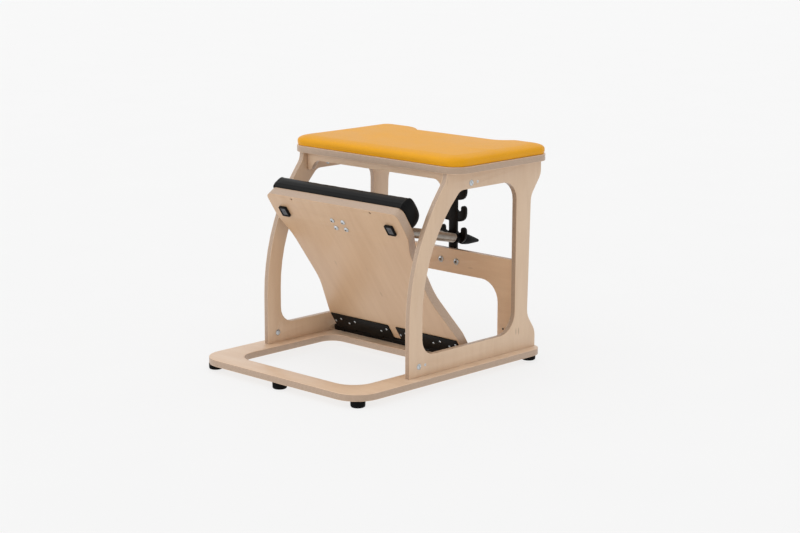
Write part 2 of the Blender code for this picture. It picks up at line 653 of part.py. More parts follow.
def bumpers():
    along = PEDAL_ROOT + BUMPER_FROM_ROOT
    recess = 0.0025
    half, half_length = BUMPER_WIDTH / 2, BUMPER_LENGTH / 2
    block = filleted(mirrored([(half, half_length, 0.002), (half, -half_length, 0.002)]))
    hollow = filleted(mirrored([(half - 0.004, half_length - 0.004, 0.001),
                                (half - 0.004, 0.004 - half_length, 0.001)]))
    for side in SIDES:
        low = PEDAL_UNDER - GAP - BUMPER_HEIGHT
        place = (side * BUMPER_X, -along, low)
        bumper = piece("bumper_" + SIDE_NAMES[side], plate_mesh([block], BUMPER_HEIGHT), RUBBER,
                       pedal_pivot, place)
        cut = plate_mesh([hollow], 2 * recess, Matrix.Translation((*place[:2], low - recess)))
        boolean(bumper, cut, "DIFFERENCE", "bumper_hollow_" + SIDE_NAMES[side])


def hinge():
    """Two leaves under the pedal board, one leaf on the base, and the pin that their knuckles share."""
    bore = circle(HINGE_PIN_RADIUS + GAP, 16)
    end = HINGE_LENGTH / 2
    knuckles = [(PEDAL_LEAF_START + near * PEDAL_LEAF_LENGTH, PEDAL_LEAF_START + far * PEDAL_LEAF_LENGTH)
                for near, far in PEDAL_KNUCKLES]
    under = PEDAL_UNDER - GAP - LEAF_THICKNESS
    top = under + LEAF_THICKNESS
    leave = -atan2(-top, (KNUCKLE_RADIUS ** 2 - top ** 2) ** 0.5)
    sweep = 1.5 * pi - leave
    chords = 20
    arc = [-pi / 2 - sweep * k / chords for k in range(1, chords + 1)]
    inside = PEDAL_LEAF_FROM_AXIS + 0.003
    section = [(inside, under), (0, under)]
    section += [(KNUCKLE_RADIUS * cos(t), KNUCKLE_RADIUS * sin(t)) for t in arc]
    section.append((inside, top))
    section = [(-along, over) for along, over in section]
    size = (PEDAL_LEAF_LENGTH, PEDAL_LEAF_WIDTH, LEAF_THICKNESS)
    for side in SIDES:
        middle = (side * (PEDAL_LEAF_START + size[0] / 2), -PEDAL_LEAF_FROM_AXIS - size[1] / 2,
                  under + size[2] / 2)
        box = bmesh.new()
        bmesh.ops.create_cube(box, size=1)
        box.transform(Matrix.Translation(middle) @ Matrix.Diagonal((*size, 1)))
        mesh = bpy.data.meshes.new("leaf")
        box.to_mesh(mesh)
        box.free()
        leaf = piece("pedal_leaf_" + SIDE_NAMES[side], mesh, BLACK_STEEL, pedal_pivot)
        for index, (start, stop) in enumerate(knuckles):
            barrel = plate_mesh([section, bore], stop - start, ALONG)
            barrel.transform(Matrix.Translation((min(side * start, side * stop), 0, 0)))
            boolean(leaf, barrel, "UNION", "knuckle_%s_%d" % (SIDE_NAMES[side], index))

    floor = BASE_TOP + GAP - HINGE_Z
    leaf_top = floor + LEAF_THICKNESS
    web = BASE_KNUCKLE_WEB
    outer = [(-web, floor), (-web, leaf_top), (BASE_LEAF_BACK, leaf_top), (BASE_LEAF_BACK, floor)]
    base_leaf = piece("base_leaf", plate_mesh([outer], HINGE_LENGTH, ALONG), BLACK_STEEL, origin,
                      (-end, PEDAL_HINGE_Y, HINGE_Z))
    meet = atan2(-(KNUCKLE_RADIUS ** 2 - web ** 2) ** 0.5, -web)
    sweep = 2 * pi - 2 * (1.5 * pi - (meet + 2 * pi))
    chords, inside = 18, floor + 0.001
    arc = [meet - sweep * k / chords for k in range(chords + 1)]
    section = [(KNUCKLE_RADIUS * cos(t), KNUCKLE_RADIUS * sin(t)) for t in arc]
    section = [(-web, inside), *section, (web, inside)]
    ends = [-end]
    for start, stop in sorted(sorted((side * a, side * b)) for side in SIDES for a, b in knuckles):
        ends += [start - GAP, stop + GAP]
    ends.append(end)
    for index, (start, stop) in enumerate(zip(ends[::2], ends[1::2])):
        barrel = plate_mesh([section, bore], stop - start, ALONG)
        barrel.transform(Matrix.Translation((start, PEDAL_HINGE_Y, HINGE_Z)))
        boolean(base_leaf, barrel, "UNION", "base_knuckle_%d" % index)
    rod = turned_mesh([(0, end), (HINGE_PIN_RADIUS, end), (HINGE_PIN_RADIUS, -end), (0, -end)], 16)
    rod.transform(Matrix.Rotation(pi / 2, 4, "Y"))
    piece("hinge_pin", rod, ZINC, origin, (0, PEDAL_HINGE_Y, HINGE_Z))


def hex_nuts(names, places, radius, bore_radius, height, parent):
    """Six-sided nuts, each at a (place, direction) with its flat face at the place."""
    mesh = plate_mesh([circle(radius, 6), circle(bore_radius, 12)], height)
    for name, (place, way) in zip(names, places):
        piece(name, copies(mesh, [aimed(place, way)]), ZINC, parent)


def bracket(board):
    """The spring bracket on the pedal's back: a plate with two ears, a cross pin, bolts and nuts."""
    back = PEDAL_OVER + GAP
    near = BRACKET_START
    half = BRACKET_HALF
    outline = mirrored([(half, -near, 0.004), (half, -near - BRACKET_LENGTH, 0.010)])
    plate = plate_mesh([filleted(outline)], BRACKET_THICKNESS)
    made = piece("spring_bracket", plate, BLACK_STEEL, pedal_pivot, (0, 0, back))
    pin_y, pin_z = -PIN_FROM_AXIS, PIN_OVER_AXIS
    reach, foot, inside = 0.010, 0.012, 0.001
    ear = filleted([(pin_y + reach, back + inside, 0), (pin_y + reach, pin_z + reach, reach),
                    (pin_y - reach, pin_z + reach, reach), (pin_y - reach - foot, back + inside, 0)])
    hole = circle(BRACKET_PIN_RADIUS + GAP, 16, (pin_y, pin_z))
    ear_x = half - 0.0025
    for side in SIDES:
        mesh = plate_mesh([ear, hole], BRACKET_THICKNESS, ALONG)
        mesh.transform(Matrix.Translation((side * ear_x - BRACKET_THICKNESS / 2, 0, 0)))
        boolean(made, mesh, "UNION", "bracket_ear_" + SIDE_NAMES[side])
    end, head_height = half + 0.0015, 0.002
    head = BRACKET_PIN_RADIUS + 0.002
    over = end + head_height
    profile = [(0, over), (head, over), (head, end), (BRACKET_PIN_RADIUS, end),
               (BRACKET_PIN_RADIUS, -end), (head, -end), (head, -over), (0, -over)]
    pin = turned_mesh(profile, 16)
    pin.transform(Matrix.Rotation(pi / 2, 4, "Y"))
    piece("bracket_pin", pin, ZINC, pedal_pivot, (0, pin_y, pin_z))
    spots = [(side * x, -near - along) for x, along in BRACKET_BOLTS for side in SIDES]
    shank, nut_height, bolt_end = 0.003, 0.005, 0.002
    grip = PEDAL_THICKNESS + BRACKET_THICKNESS + nut_height + bolt_end
    places = [((x, y, PEDAL_UNDER), DOWN) for x, y in spots]
    fasteners(each_side("bracket_bolt", 2), places, (0.0075, 0.004), (shank, grip), ZINC,
              pedal_pivot, [board, made])
    places = [((x, y, back + BRACKET_THICKNESS + GAP), UP) for x, y in spots]
    hex_nuts(each_side("bracket_nut", 2), places, 0.006, shank + GAP, nut_height, pedal_pivot)


def tree(back):
    """The post with its pairs of hooked arms, and the two bolts through the back rail."""
    drop = TREE_THICKNESS / 2
    down_tilt = PRESSED_TILT - pi / 2
    seat = SPRING_SEAT_Z - NECK_RADIUS / cos(down_tilt) - drop * tan(down_tilt) - GAP
    slit = SLIT_WIDTH / 2
    foot_low = TREE_FOOT_TOP - TREE_FOOT_HEIGHT
    half = [(TREE_FOOT_HALF, foot_low, 0.006), (TREE_FOOT_HALF, TREE_FOOT_TOP, 0.006),
            (TREE_TRUNK, TREE_FOOT_TOP + 0.006, 0.008)]
    round_slit = slit - 0.0001
    for level in range(TREE_LEVELS):
        z = seat + level * TREE_PITCH
        half += [(TREE_TRUNK, z + ARM_ROOT, 0.003), (TREE_ARM, z + ARM_UNDER, ARM_ROUNDING),
                 (TREE_ARM, z + ARM_TIP, 0.0095), (TREE_MOUTH, z + ARM_TIP, 0.0075),
                 (TREE_MOUTH, z + ARM_MOUTH, 0.002), (SPRING_X + slit, z + ARM_MOUTH, 0.002),
                 (SPRING_X + slit, z, round_slit), (SPRING_X - slit, z, round_slit),
                 (SPRING_X - slit, z + ARM_MOUTH, 0.001), (TREE_TRUNK, z + ARM_MOUTH, 0.003)]
    half.append((TREE_TRUNK, z + POST_TOP, 0.011))
    mesh = plate_mesh([filleted(mirrored(half))], TREE_THICKNESS, ACROSS)
    post = piece("spring_tree", mesh, BLACK_STEEL, origin, (0, TREE_FRONT + TREE_THICKNESS, 0))
    shank, nut_height, bolt_end = 0.004, 0.006, 0.002
    grip = BACK_THICKNESS + TREE_THICKNESS + nut_height + bolt_end
    places = [((side * TREE_BOLT_X, BACK_FRONT_FACE, TREE_BOLT_Z), (0, -1, 0)) for side in SIDES]
    fasteners(each_side("tree_bolt"), places, (0.0095, 0.0045), (shank, grip), ZINC, origin,
              [back, post])
    behind = TREE_FRONT + TREE_THICKNESS + GAP
    spots = [((side * TREE_BOLT_X, behind, TREE_BOLT_Z), (0, 1, 0)) for side in SIDES]
    hex_nuts(each_side("tree_nut"), spots, 0.0075, shank + GAP, nut_height, origin)


def coil(name, parent, start, end):
    """An extension spring's wire from one cup to the other, straight for one wire thickness at both."""
    centre = SPRING_RADIUS - WIRE_RADIUS
    straight = 2 * WIRE_RADIUS
    first, last = start + GAP, end - GAP
    rise = (last - first - 2 * straight) / (CURLS * POINTS_PER_CURL)
    points = [Vector((centre, 0, first))]
    for k in range(CURLS * POINTS_PER_CURL + 1):
        turn = 2 * pi * k / POINTS_PER_CURL
        points.append(Vector((centre * cos(turn), centre * sin(turn), first + straight + rise * k)))
    points.append(Vector((centre, 0, last)))
    curve = bpy.data.curves.new(name, "CURVE")
    curve.dimensions = "3D"
    curve.bevel_depth = WIRE_RADIUS
    curve.bevel_resolution = 1
    curve.use_fill_caps = True
    spline = curve.splines.new("POLY")
    spline.points.add(len(points) - 1)
    for target, point in zip(spline.points, points):
        target.co = (*point, 1)
    made = bpy.data.objects.new(name, curve)
    curve.materials.append(SPRING_STEEL)
    chair.objects.link(made)
    made.parent = parent
    ring = np.array(points)
    apart = [np.linalg.norm(ring[POINTS_PER_CURL // 2 + i:] - ring[i], axis=1).min()
             for i in range(len(ring) - POINTS_PER_CURL // 2)]
    print(name, "least gap between curls", round((min(apart) - 2 * WIRE_RADIUS) * 1000, 2), "mm")


def spring(side):
    """One spring, along Z of its pivots: knob, rod and rear cup at the tree, front cup and eye."""
    name = SIDE_NAMES[side]
    rear = empty("spring_pivot_" + name, (side * SPRING_X, SPRING_SEAT_Y, SPRING_SEAT_Z), origin,
                 SPRING_TILT)
    rear_cup_end = REAR_CUP_START + CUP_LENGTH
    front_cup_end = SPRING_LENGTH - FRONT_CUP_SPACE
    front_cup_start = front_cup_end - CUP_LENGTH
    bore = NECK_RADIUS + GAP
    inside = SPRING_RADIUS - 2 * WIRE_RADIUS - 0.001
    rod_end, knob_depth = rear_cup_end + ROD_STOP, KNOB_START + KNOB_BORE
    rod = [(0, rod_end), (inside, rod_end), (inside, rear_cup_end + GAP),
           (NECK_RADIUS, rear_cup_end + GAP), (NECK_RADIUS, -knob_depth), (0, -knob_depth)]
    piece("spring_rod_" + name, turned_mesh(rod, 16), ZINC, rear)
    cup = [(bore, rear_cup_end), (CUP_RADIUS, rear_cup_end), (CUP_RADIUS, REAR_CUP_START + 0.002),
           (CUP_RADIUS - 0.002, REAR_CUP_START), (bore, REAR_CUP_START)]
    piece("spring_rear_cup_" + name, turned_mesh(cup, 16), BLACK_PLASTIC, rear)
    tip = KNOB_START + KNOB_LENGTH
    collar = -KNOB_START
    knob = [(0, -knob_depth - GAP), (bore, -knob_depth - GAP), (bore, collar)]
    knob += [(radius, collar - beyond) for radius, beyond in KNOB_SIDE]
    knob.append((0, -tip))
    piece("spring_knob_" + name, turned_mesh(knob, 16), BLACK_PLASTIC, rear)
    coil("spring_coil_" + name, rear, rear_cup_end, front_cup_start)
    front_cup = [(FRONT_CUP_BORE, front_cup_end), (CUP_RADIUS - 0.002, front_cup_end),
                 (CUP_RADIUS, front_cup_end - 0.002), (CUP_RADIUS, front_cup_start),
                 (FRONT_CUP_BORE, front_cup_start)]
    piece("spring_front_cup_" + name, turned_mesh(front_cup, 16), BLACK_PLASTIC, rear)

    pivot = empty("eye_pivot_" + name, (side * SPRING_X, -PIN_FROM_AXIS, PIN_OVER_AXIS), pedal_pivot,
                  PEDAL_RAISED + SPRING_TILT)
    pull = EYE_RADIUS - EYE_WIRE_RADIUS - BRACKET_PIN_RADIUS - GAP
    flange = -FRONT_CUP_SPACE + GAP
    shank_end = -EYE_SHANK_LENGTH
    shank_top = -pull - EYE_RADIUS
    flange_top, flange_radius = flange + EYE_FLANGE_THICKNESS, CUP_RADIUS - 0.003
    shank = [(0, shank_top), (EYE_SHANK_RADIUS, shank_top), (EYE_SHANK_RADIUS, flange_top),
             (flange_radius, flange_top), (flange_radius, flange), (EYE_SHANK_RADIUS, flange),
             (EYE_SHANK_RADIUS, shank_end), (0, shank_end)]
    eye = piece("spring_eye_" + name, turned_mesh(shank, 12), ZINC, pivot)
    bpy.ops.mesh.primitive_torus_add(major_radius=EYE_RADIUS, minor_radius=EYE_WIRE_RADIUS,
                                     major_segments=20, minor_segments=8)
    ring = bpy.context.object
    mesh = ring.data
    bpy.data.objects.remove(ring)
    mesh.transform(Matrix.Translation((0, 0, -pull)) @ Matrix.Rotation(pi / 2, 4, "Y"))
    boolean(eye, mesh, "UNION", "eye_ring_" + name)


base_board = base_and_feet()
panel_pair = side_panels()
back_board = back_panel_and_apron()
seat_top = seat()
panel_joinery(base_board, seat_top, panel_pair)
pedal_pivot = empty("pedal_pivot", (0, PEDAL_HINGE_Y, HINGE_Z), origin, -PEDAL_RAISED)
pedal = pedal_board()
foot_roll(pedal)
bumpers()
hinge()
bracket(pedal)
tree(back_board)
for spring_side in SIDES:
    spring(spring_side)
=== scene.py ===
from math import acos, atan2, cos, exp, hypot, pi, radians, sin, tan

import bmesh
import bpy
from mathutils import Matrix, Vector


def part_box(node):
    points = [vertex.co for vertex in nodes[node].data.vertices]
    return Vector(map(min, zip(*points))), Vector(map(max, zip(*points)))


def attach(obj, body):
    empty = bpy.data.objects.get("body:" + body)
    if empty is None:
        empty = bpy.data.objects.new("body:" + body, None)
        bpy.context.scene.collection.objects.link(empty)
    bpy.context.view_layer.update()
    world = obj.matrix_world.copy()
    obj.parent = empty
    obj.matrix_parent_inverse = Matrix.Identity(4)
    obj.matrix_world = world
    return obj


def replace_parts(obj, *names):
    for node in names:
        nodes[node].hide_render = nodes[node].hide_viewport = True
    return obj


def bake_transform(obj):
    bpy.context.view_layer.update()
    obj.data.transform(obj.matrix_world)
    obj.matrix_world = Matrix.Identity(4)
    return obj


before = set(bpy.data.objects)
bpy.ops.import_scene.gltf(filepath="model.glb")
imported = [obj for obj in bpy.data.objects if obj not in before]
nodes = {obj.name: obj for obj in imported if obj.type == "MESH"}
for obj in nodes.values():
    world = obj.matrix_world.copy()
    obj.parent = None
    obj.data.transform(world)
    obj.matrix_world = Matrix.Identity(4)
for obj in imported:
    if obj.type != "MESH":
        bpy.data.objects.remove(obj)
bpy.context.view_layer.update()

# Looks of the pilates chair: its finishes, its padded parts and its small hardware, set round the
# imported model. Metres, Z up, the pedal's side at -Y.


# Base board.
# An 18 mm birch plywood board with a rounded cut-out for the user's feet and a notch in its back
# edge. Its edges are rounded over and show the plies, and all of it has a clear satin lacquer.

def shader(name):
    """A new material, with its node tree and its Principled shader."""
    made = bpy.data.materials.new(name)
    made.use_nodes = True
    return made, made.node_tree, made.node_tree.nodes["Principled BSDF"]


def node(tree, kind, inputs=None, **settings):
    """Adds a shader node. An input is a number, a colour or another node's output."""
    made = tree.nodes.new("ShaderNode" + kind)
    for key, value in settings.items():
        setattr(made, key, value)
    for key, value in (inputs or {}).items():
        if isinstance(value, bpy.types.NodeSocket):
            tree.links.new(value, made.inputs[key])
        else:
            made.inputs[key].default_value = value
    return made


def calc(tree, operation, a, b=0.0):
    return node(tree, "Math", {0: a, 1: b}, operation=operation).outputs[0]


def between(tree, value, low, high, start=0.0, end=1.0):
    """The value moved from the range low..high to start..end, smooth at both and clamped."""
    return node(tree, "MapRange", {"Value": value, "From Min": low, "From Max": high,
                                   "To Min": start, "To Max": end},
                interpolation_type="SMOOTHSTEP").outputs["Result"]


def mixed(tree, share, a, b):
    """The colour a share of the way from a to b."""
    share_socket, a_socket, b_socket = 0, 6, 7
    inputs = {share_socket: share, a_socket: a, b_socket: b}
    return node(tree, "Mix", inputs, data_type="RGBA").outputs[2]


def texture(tree, kind, place, scale, **inputs):
    """A texture node, stretched along each axis by scale. Inputs are given by name."""
    stretched = node(tree, "VectorMath", {0: place, 1: scale}, operation="MULTIPLY").outputs[0]
    settings = {"Scale": 1.0, **{key.replace("_", " "): value for key, value in inputs.items()}}
    return node(tree, kind, {"Vector": stretched, **settings})


def bumped(tree, skin, strength, depth, height):
    relief = node(tree, "Bump", {"Strength": strength, "Distance": depth, "Height": height})
    tree.links.new(relief.outputs[0], skin.inputs["Normal"])


def birch_plywood(name, across, along, start, thickness, plies, tone=(1, 1, 1)):
    """Birch plywood: face veneers with a fine grain along one direction, and layers at the edges.
    across is the board's normal and start a point on its lower face, so depth tells the layer.
    tone is painted light and shade: it lightens or darkens its faces."""
    warm, pale, pore_brown = (0.635, 0.445, 0.300, 1), (0.705, 0.515, 0.362, 1), (0.36, 0.22, 0.13, 1)
    fleck_brown, glue, hollow_shade = (0.25, 0.15, 0.085, 1), (0.16, 0.10, 0.065, 1), (0.06, 0.035, 0.02, 1)
    light_ply = (0.50, 0.355, 0.250, 1), (0.60, 0.445, 0.325, 1)
    dark_ply = (0.27, 0.175, 0.115, 1), (0.38, 0.255, 0.175, 1)
    material, tree, skin = shader(name)
    across, along = Vector(across).normalized(), Vector(along).normalized()
    sideways = across.cross(along)
    place = node(tree, "TexCoord").outputs["Object"]

    def along_axis(axis):
        return node(tree, "VectorMath", {0: place, 1: axis}, operation="DOT_PRODUCT").outputs["Value"]

    # The faces: streaks and clouds along the grain, fine pores, and now and then a dark fleck
    above = calc(tree, "SUBTRACT", along_axis(across), across.dot(start))
    depth = calc(tree, "DIVIDE", above, thickness)
    grain = node(tree, "CombineXYZ", {0: along_axis(along), 1: along_axis(sideways),
                                      2: calc(tree, "ROUND", depth)}).outputs[0]
    streaks = texture(tree, "TexNoise", grain, (5, 42, 7), Detail=5.0, Roughness=0.6, Distortion=0.5)
    cloud = texture(tree, "TexNoise", grain, (2.2, 6, 5), Detail=2.0)
    pores = texture(tree, "TexNoise", grain, (55, 1100, 9), Detail=2.0, Roughness=0.7)
    figure = calc(tree, "ADD", calc(tree, "MULTIPLY", streaks.outputs[0], 0.55),
                  calc(tree, "MULTIPLY", cloud.outputs[0], 0.45))
    face = mixed(tree, between(tree, figure, 0.30, 0.70), warm, pale)
    face = mixed(tree, between(tree, pores.outputs[0], 0.30, 0.50, 0.10, 0.0), face, pore_brown)
    flecks = texture(tree, "TexVoronoi", grain, (11, 46, 3), Randomness=1.0)
    rare = node(tree, "SeparateColor", {0: flecks.outputs["Color"]}).outputs[0]
    fleck = calc(tree, "MULTIPLY", between(tree, flecks.outputs["Distance"], 0.05, 0.16, 1.0, 0.0),
                 between(tree, rare, 0.86, 0.96, 0.0, 0.55))
    face = mixed(tree, fleck, face, fleck_brown)
    # Painted light and shade: the faces lightened or darkened by tone
    face = node(tree, "VectorMath", {0: face, 1: tone}, operation="MULTIPLY").outputs[0]

    # The edges: plies light and dark by turns, thin glue lines, and painted shade for small hollows in
    # the dark plies
    count = calc(tree, "MULTIPLY", depth, plies)
    layer = calc(tree, "FLOOR", count)
    odd = calc(tree, "MODULO", layer, 2.0)
    within = calc(tree, "SUBTRACT", count, layer)
    fibres = texture(tree, "TexNoise", place, (420,) * 3, Detail=2.0)
    light, dark = [mixed(tree, fibres.outputs[0], *ply) for ply in (light_ply, dark_ply)]
    edge = mixed(tree, odd, light, dark)
    edge = mixed(tree, between(tree, within, 0.0, 0.16, 0.55, 0.0), edge, glue)
    # Painted shade of small hollows in the dark plies
    voids = texture(tree, "TexVoronoi", place, (75,) * 3, Randomness=1.0)
    chance = node(tree, "SeparateColor", {0: voids.outputs["Color"]}).outputs[1]
    hole = calc(tree, "MULTIPLY", between(tree, voids.outputs["Distance"], 0.06, 0.13, 1.0, 0.0),
                calc(tree, "GREATER_THAN", chance, 0.86))
    edge = mixed(tree, calc(tree, "MULTIPLY", hole, odd), edge, hollow_shade)

    from_middle = calc(tree, "ABSOLUTE", calc(tree, "SUBTRACT", depth, 0.5))
    inner = calc(tree, "LESS_THAN", from_middle, 0.5 - 1.0 / plies)
    tree.links.new(mixed(tree, inner, face, edge), skin.inputs["Base Color"])
    tree.links.new(between(tree, figure, 0.3, 0.7, 0.50, 0.42), skin.inputs["Roughness"])
    skin.inputs["Coat Weight"].default_value = 0.5
    skin.inputs["Coat Roughness"].default_value = 0.35
    bumped(tree, skin, 0.12, 0.0003, pores.outputs[0])
    return material


def smooth_by_angle():
    """Geometry nodes that shade a mesh smooth, but for its edges sharper than 35 degrees."""
    group = bpy.data.node_groups.new("smooth_by_angle", "GeometryNodeTree")
    group.interface.new_socket("Geometry", in_out="INPUT", socket_type="NodeSocketGeometry")
    group.interface.new_socket("Geometry", in_out="OUTPUT", socket_type="NodeSocketGeometry")
    source, result = group.nodes.new("NodeGroupInput"), group.nodes.new("NodeGroupOutput")
    bare = group.nodes.new("GeometryNodeRemoveAttribute")
    bare.inputs["Name"].default_value = "custom_normal"
    angle = group.nodes.new("GeometryNodeInputMeshEdgeAngle")
    low = group.nodes.new("FunctionNodeCompare")
    low.operation = "LESS_THAN"
    low.inputs[1].default_value = radians(35)
    faces, edges = (group.nodes.new("GeometryNodeSetShadeSmooth") for _ in range(2))
    edges.domain = "EDGE"
    group.links.new(source.outputs[0], bare.inputs[0])
    group.links.new(bare.outputs[0], faces.inputs[0])
    group.links.new(faces.outputs[0], edges.inputs[0])
    group.links.new(angle.outputs[0], low.inputs[0])
    group.links.new(low.outputs[0], edges.inputs["Shade Smooth"])
    group.links.new(edges.outputs[0], result.inputs[0])
    return group


SMOOTHING = smooth_by_angle()


def finished(part, material):
    """Gives a piece or a CAD node its material in every slot, and smooth shading by angle."""
    if not part.data.materials:
        part.data.materials.append(material)
    for index in range(len(part.data.materials)):
        part.data.materials[index] = material
    part.modifiers.new("smooth", "NODES").node_group = SMOOTHING


def eased(name, material, radius, segments):
    """Rounds over the sharp edges of a CAD node with modifiers, and gives it its material."""
    part = nodes[name]
    part.modifiers.new("weld", "WELD").merge_threshold = 0.000002
    flat = part.modifiers.new("flat", "DECIMATE")
    flat.decimate_type = "DISSOLVE"
    flat.angle_limit = radians(0.5)
    over = part.modifiers.new("round_over", "BEVEL")
    over.width = radius
    over.segments = segments
    over.limit_method = "ANGLE"
    over.angle_limit = radians(50)
    over.use_clamp_overlap = True
    finished(part, material)


UP, RIGHT = (0, 0, 1), (1, 0, 0)
BOARD, BOARD_PLIES = 0.018, 13
base_low, base_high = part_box("base_board")
ply = birch_plywood("base_plywood", UP, RIGHT, base_low, BOARD, BOARD_PLIES)
eased("base_board", ply, radius=0.0045, segments=4)


# Feet.
# Five round black rubber feet, moulded, with a screw up through the middle of each.
# They stand at the corners and under the middle of the front rail.

def moulded(name, colour, roughness, grain, depth, specular):
    """Rubber, plastic or powder coat: one colour with fine grain, a little uneven in gloss."""
    material, tree, skin = shader(name)
    place = node(tree, "TexCoord").outputs["Object"]
    fine = texture(tree, "TexNoise", place, (grain,) * 3, Detail=3.0)
    broad = texture(tree, "TexNoise", place, (35,) * 3, Detail=3.0)
    pale = tuple(1.5 * c + 0.001 for c in colour)
    worn = between(tree, broad.outputs[0], 0.35, 0.75)
    tree.links.new(mixed(tree, worn, (*colour, 1), (*pale, 1)), skin.inputs["Base Color"])
    tree.links.new(between(tree, broad.outputs[0], 0.3, 0.7, roughness - 0.05, roughness + 0.06),
                   skin.inputs["Roughness"])
    skin.inputs["Specular IOR Level"].default_value = specular
    bumped(tree, skin, 0.35, depth, fine.outputs[0])
    return material


def metal(name, colour, tint, roughness, grain):
    """Bare or plated metal with fine marks, in two close colours."""
    material, tree, skin = shader(name)
    place = node(tree, "TexCoord").outputs["Object"]
    marks = texture(tree, "TexNoise", place, (grain,) * 3, Detail=3.0, Roughness=0.6)
    broad = texture(tree, "TexNoise", place, (90,) * 3, Detail=3.0)
    share = between(tree, broad.outputs[0], 0.35, 0.65)
    tree.links.new(mixed(tree, share, (*colour, 1), (*tint, 1)), skin.inputs["Base Color"])
    skin.inputs["Metallic"].default_value = 1.0
    tree.links.new(between(tree, marks.outputs[0], 0.3, 0.7, roughness - 0.07, roughness + 0.1),
                   skin.inputs["Roughness"])
    bumped(tree, skin, 0.15, 0.0001, marks.outputs[0])
    return material


def lathe(rings, recessed=0):
    """A closed mesh through rings of points with equal counts; it caps the first and the last.
    Its first cap and that many bands after it are the inside of a recess, with their own slot for
    painted shade."""
    bm = bmesh.new()
    rows = [[bm.verts.new(p) for p in ring] for ring in rings]
    bm.faces.new(rows[-1])
    inside = [bm.faces.new(reversed(rows[0]))]
    for band, (low, high) in enumerate(zip(rows, rows[1:])):
        for i in range(len(low)):
            j = (i + 1) % len(low)
            face = bm.faces.new((low[i], low[j], high[j], high[i]))
            if band < recessed:
                inside.append(face)
    for face in inside if recessed else ():
        face.material_index = 1
    bmesh.ops.remove_doubles(bm, verts=bm.verts, dist=1e-7)
    bmesh.ops.recalc_face_normals(bm, faces=bm.faces)
    mesh = bpy.data.meshes.new("turned")
    bm.to_mesh(mesh)
    bm.free()
    return mesh


def around(radius, height, sides):
    """A ring about Z; radius is a number, or gives the radius at an angle."""
    angles = [2 * pi * k / sides for k in range(sides)]
    reach = radius if callable(radius) else lambda angle: radius
    return [(reach(t) * cos(t), reach(t) * sin(t), height) for t in angles]


def turned(profile, recessed=0):
    """A piece turned about Z, from (radius, height) down its side."""
    return lathe([around(radius, height, 48) for radius, height in profile], recessed)


def cross(reach, narrow):
    """The outline of a cross recess: four arms with sloped shoulders between them."""
    return lambda t: max(narrow, reach * max(0.0, cos(4 * t)) ** 0.7)


def aimed(place, direction):
    turn = Vector(direction).to_track_quat("Z", "Y").to_matrix().to_4x4()
    return Matrix.Translation(place) @ turn


def added(name, mesh, material, body, place):
    """A new piece of the scene, which moves with a CAD body unless that is None. A dark material paints
    shade into the recess of a mesh that has one."""
    mesh.transform(place)
    made = bpy.data.objects.new(name, mesh)
    bpy.context.scene.collection.objects.link(made)
    finished(made, material)
    # The recess slot gets painted shade
    if any(face.material_index for face in mesh.polygons):
        mesh.materials.append(recess_shade_and_dark_screws)
    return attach(made, body) if body else made


def screw(radius, height, recess, depth, shank_radius, shank, domed=True):
    """A screw with its head on Z = 0, a recess in the head and a plain shank below."""
    profile = [(recess, height - depth), (recess, height if domed else 0.55 * height)]
    if domed:
        profile += [(0.72 * radius, 0.93 * height), (0.92 * radius, 0.62 * height)]
    profile += [(radius, 0.30 * height), (radius, 0), (shank_radius, 0), (shank_radius, -shank)]
    return lathe([around(reach, z, 24) for reach, z in profile], 1)


rubber = moulded("foot_rubber", (0.0034, 0.0034, 0.0037), 0.62, 1400, 0.00012, 0.05)
# Painted shade for the recesses of screws, bolts and nuts; the back panel's two screws are drawn whole
# in it as dark screws
recess_shade_and_dark_screws = moulded("painted_recess_shade_and_dark_screws", (0.030, 0.028, 0.026), 0.60, 1500, 0.00005, 0.2)
zinc = metal("bright_zinc", (0.60, 0.63, 0.66), (0.50, 0.53, 0.54), 0.30, 300)
# Down the foot's outside and up into the screw's recess, as (radius, height)
FOOT_SIDE = ((0.0030, 0.0178), (0.0188, 0.0178), (0.0193, 0.0174), (0.0195, 0.0166), (0.0192, 0.0048),
             (0.0188, 0.0028), (0.0178, 0.0012), (0.0162, 0.0003), (0.0140, 0.0), (0.0068, 0.0),
             (0.0062, 0.0006), (0.0060, 0.0060), (0.0028, 0.0060))
DOWN = (0, 0, -1)
FOOT_SCREW_HEIGHT = 0.006       # the recess's floor over the ground
FOOT_SCREW = {"radius": 0.0048, "height": 0.0026, "recess": cross(0.0027, 0.0008), "depth": 0.0018,
              "shank_radius": 0.0022, "shank": 0.007}
for name in ("front_left", "front_middle", "front_right", "back_left", "back_right"):
    low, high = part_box("foot_" + name)
    middle = (low + high) / 2
    foot = added("rubber_foot_" + name, turned(FOOT_SIDE), rubber, "frame",
                 Matrix.Translation((middle.x, middle.y, 0)))
    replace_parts(foot, "foot_" + name)
    spot = aimed((middle.x, middle.y, FOOT_SCREW_HEIGHT), DOWN)
    added("foot_screw_" + name, screw(**FOOT_SCREW), zinc, "frame", spot)


# Side panels.
# Two 15 mm birch plywood panels with a D-shaped window, routed from one sheet each.
# Steel barrel nuts go through them, and a small countersunk screw keeps each nut from turning.

SIDES = ((-1, "left"), (1, "right"))
# Painted shade: both panels' faces are darkened a little
PANEL, PANEL_PLIES, PANEL_PAINTED_SHADE = 0.015, 11, (0.97, 0.97, 0.95)
NUT_RADIUS, NUT_PROUD, SLOT_HALF, SLOT_TURN = 0.0077, 0.0002, 0.0011, radians(35)
# How far a lock screw lies behind its barrel nut and over it
LOCK_BEHIND, LOCK_OVER = {"low": 0.0235, "high": 0.0245}, 0.001
LOCK_SCREW = {"radius": 0.0039, "height": 0.0006, "recess": cross(0.0024, 0.0008), "depth": 0.0016,
              "shank_radius": 0.0018, "shank": 0.006, "domed": False}


def slotted(t):
    """The outline of a straight screwdriver slot across a nut's face."""
    return min(NUT_RADIUS * 0.8, SLOT_HALF / max(abs(sin(t)), 0.02))


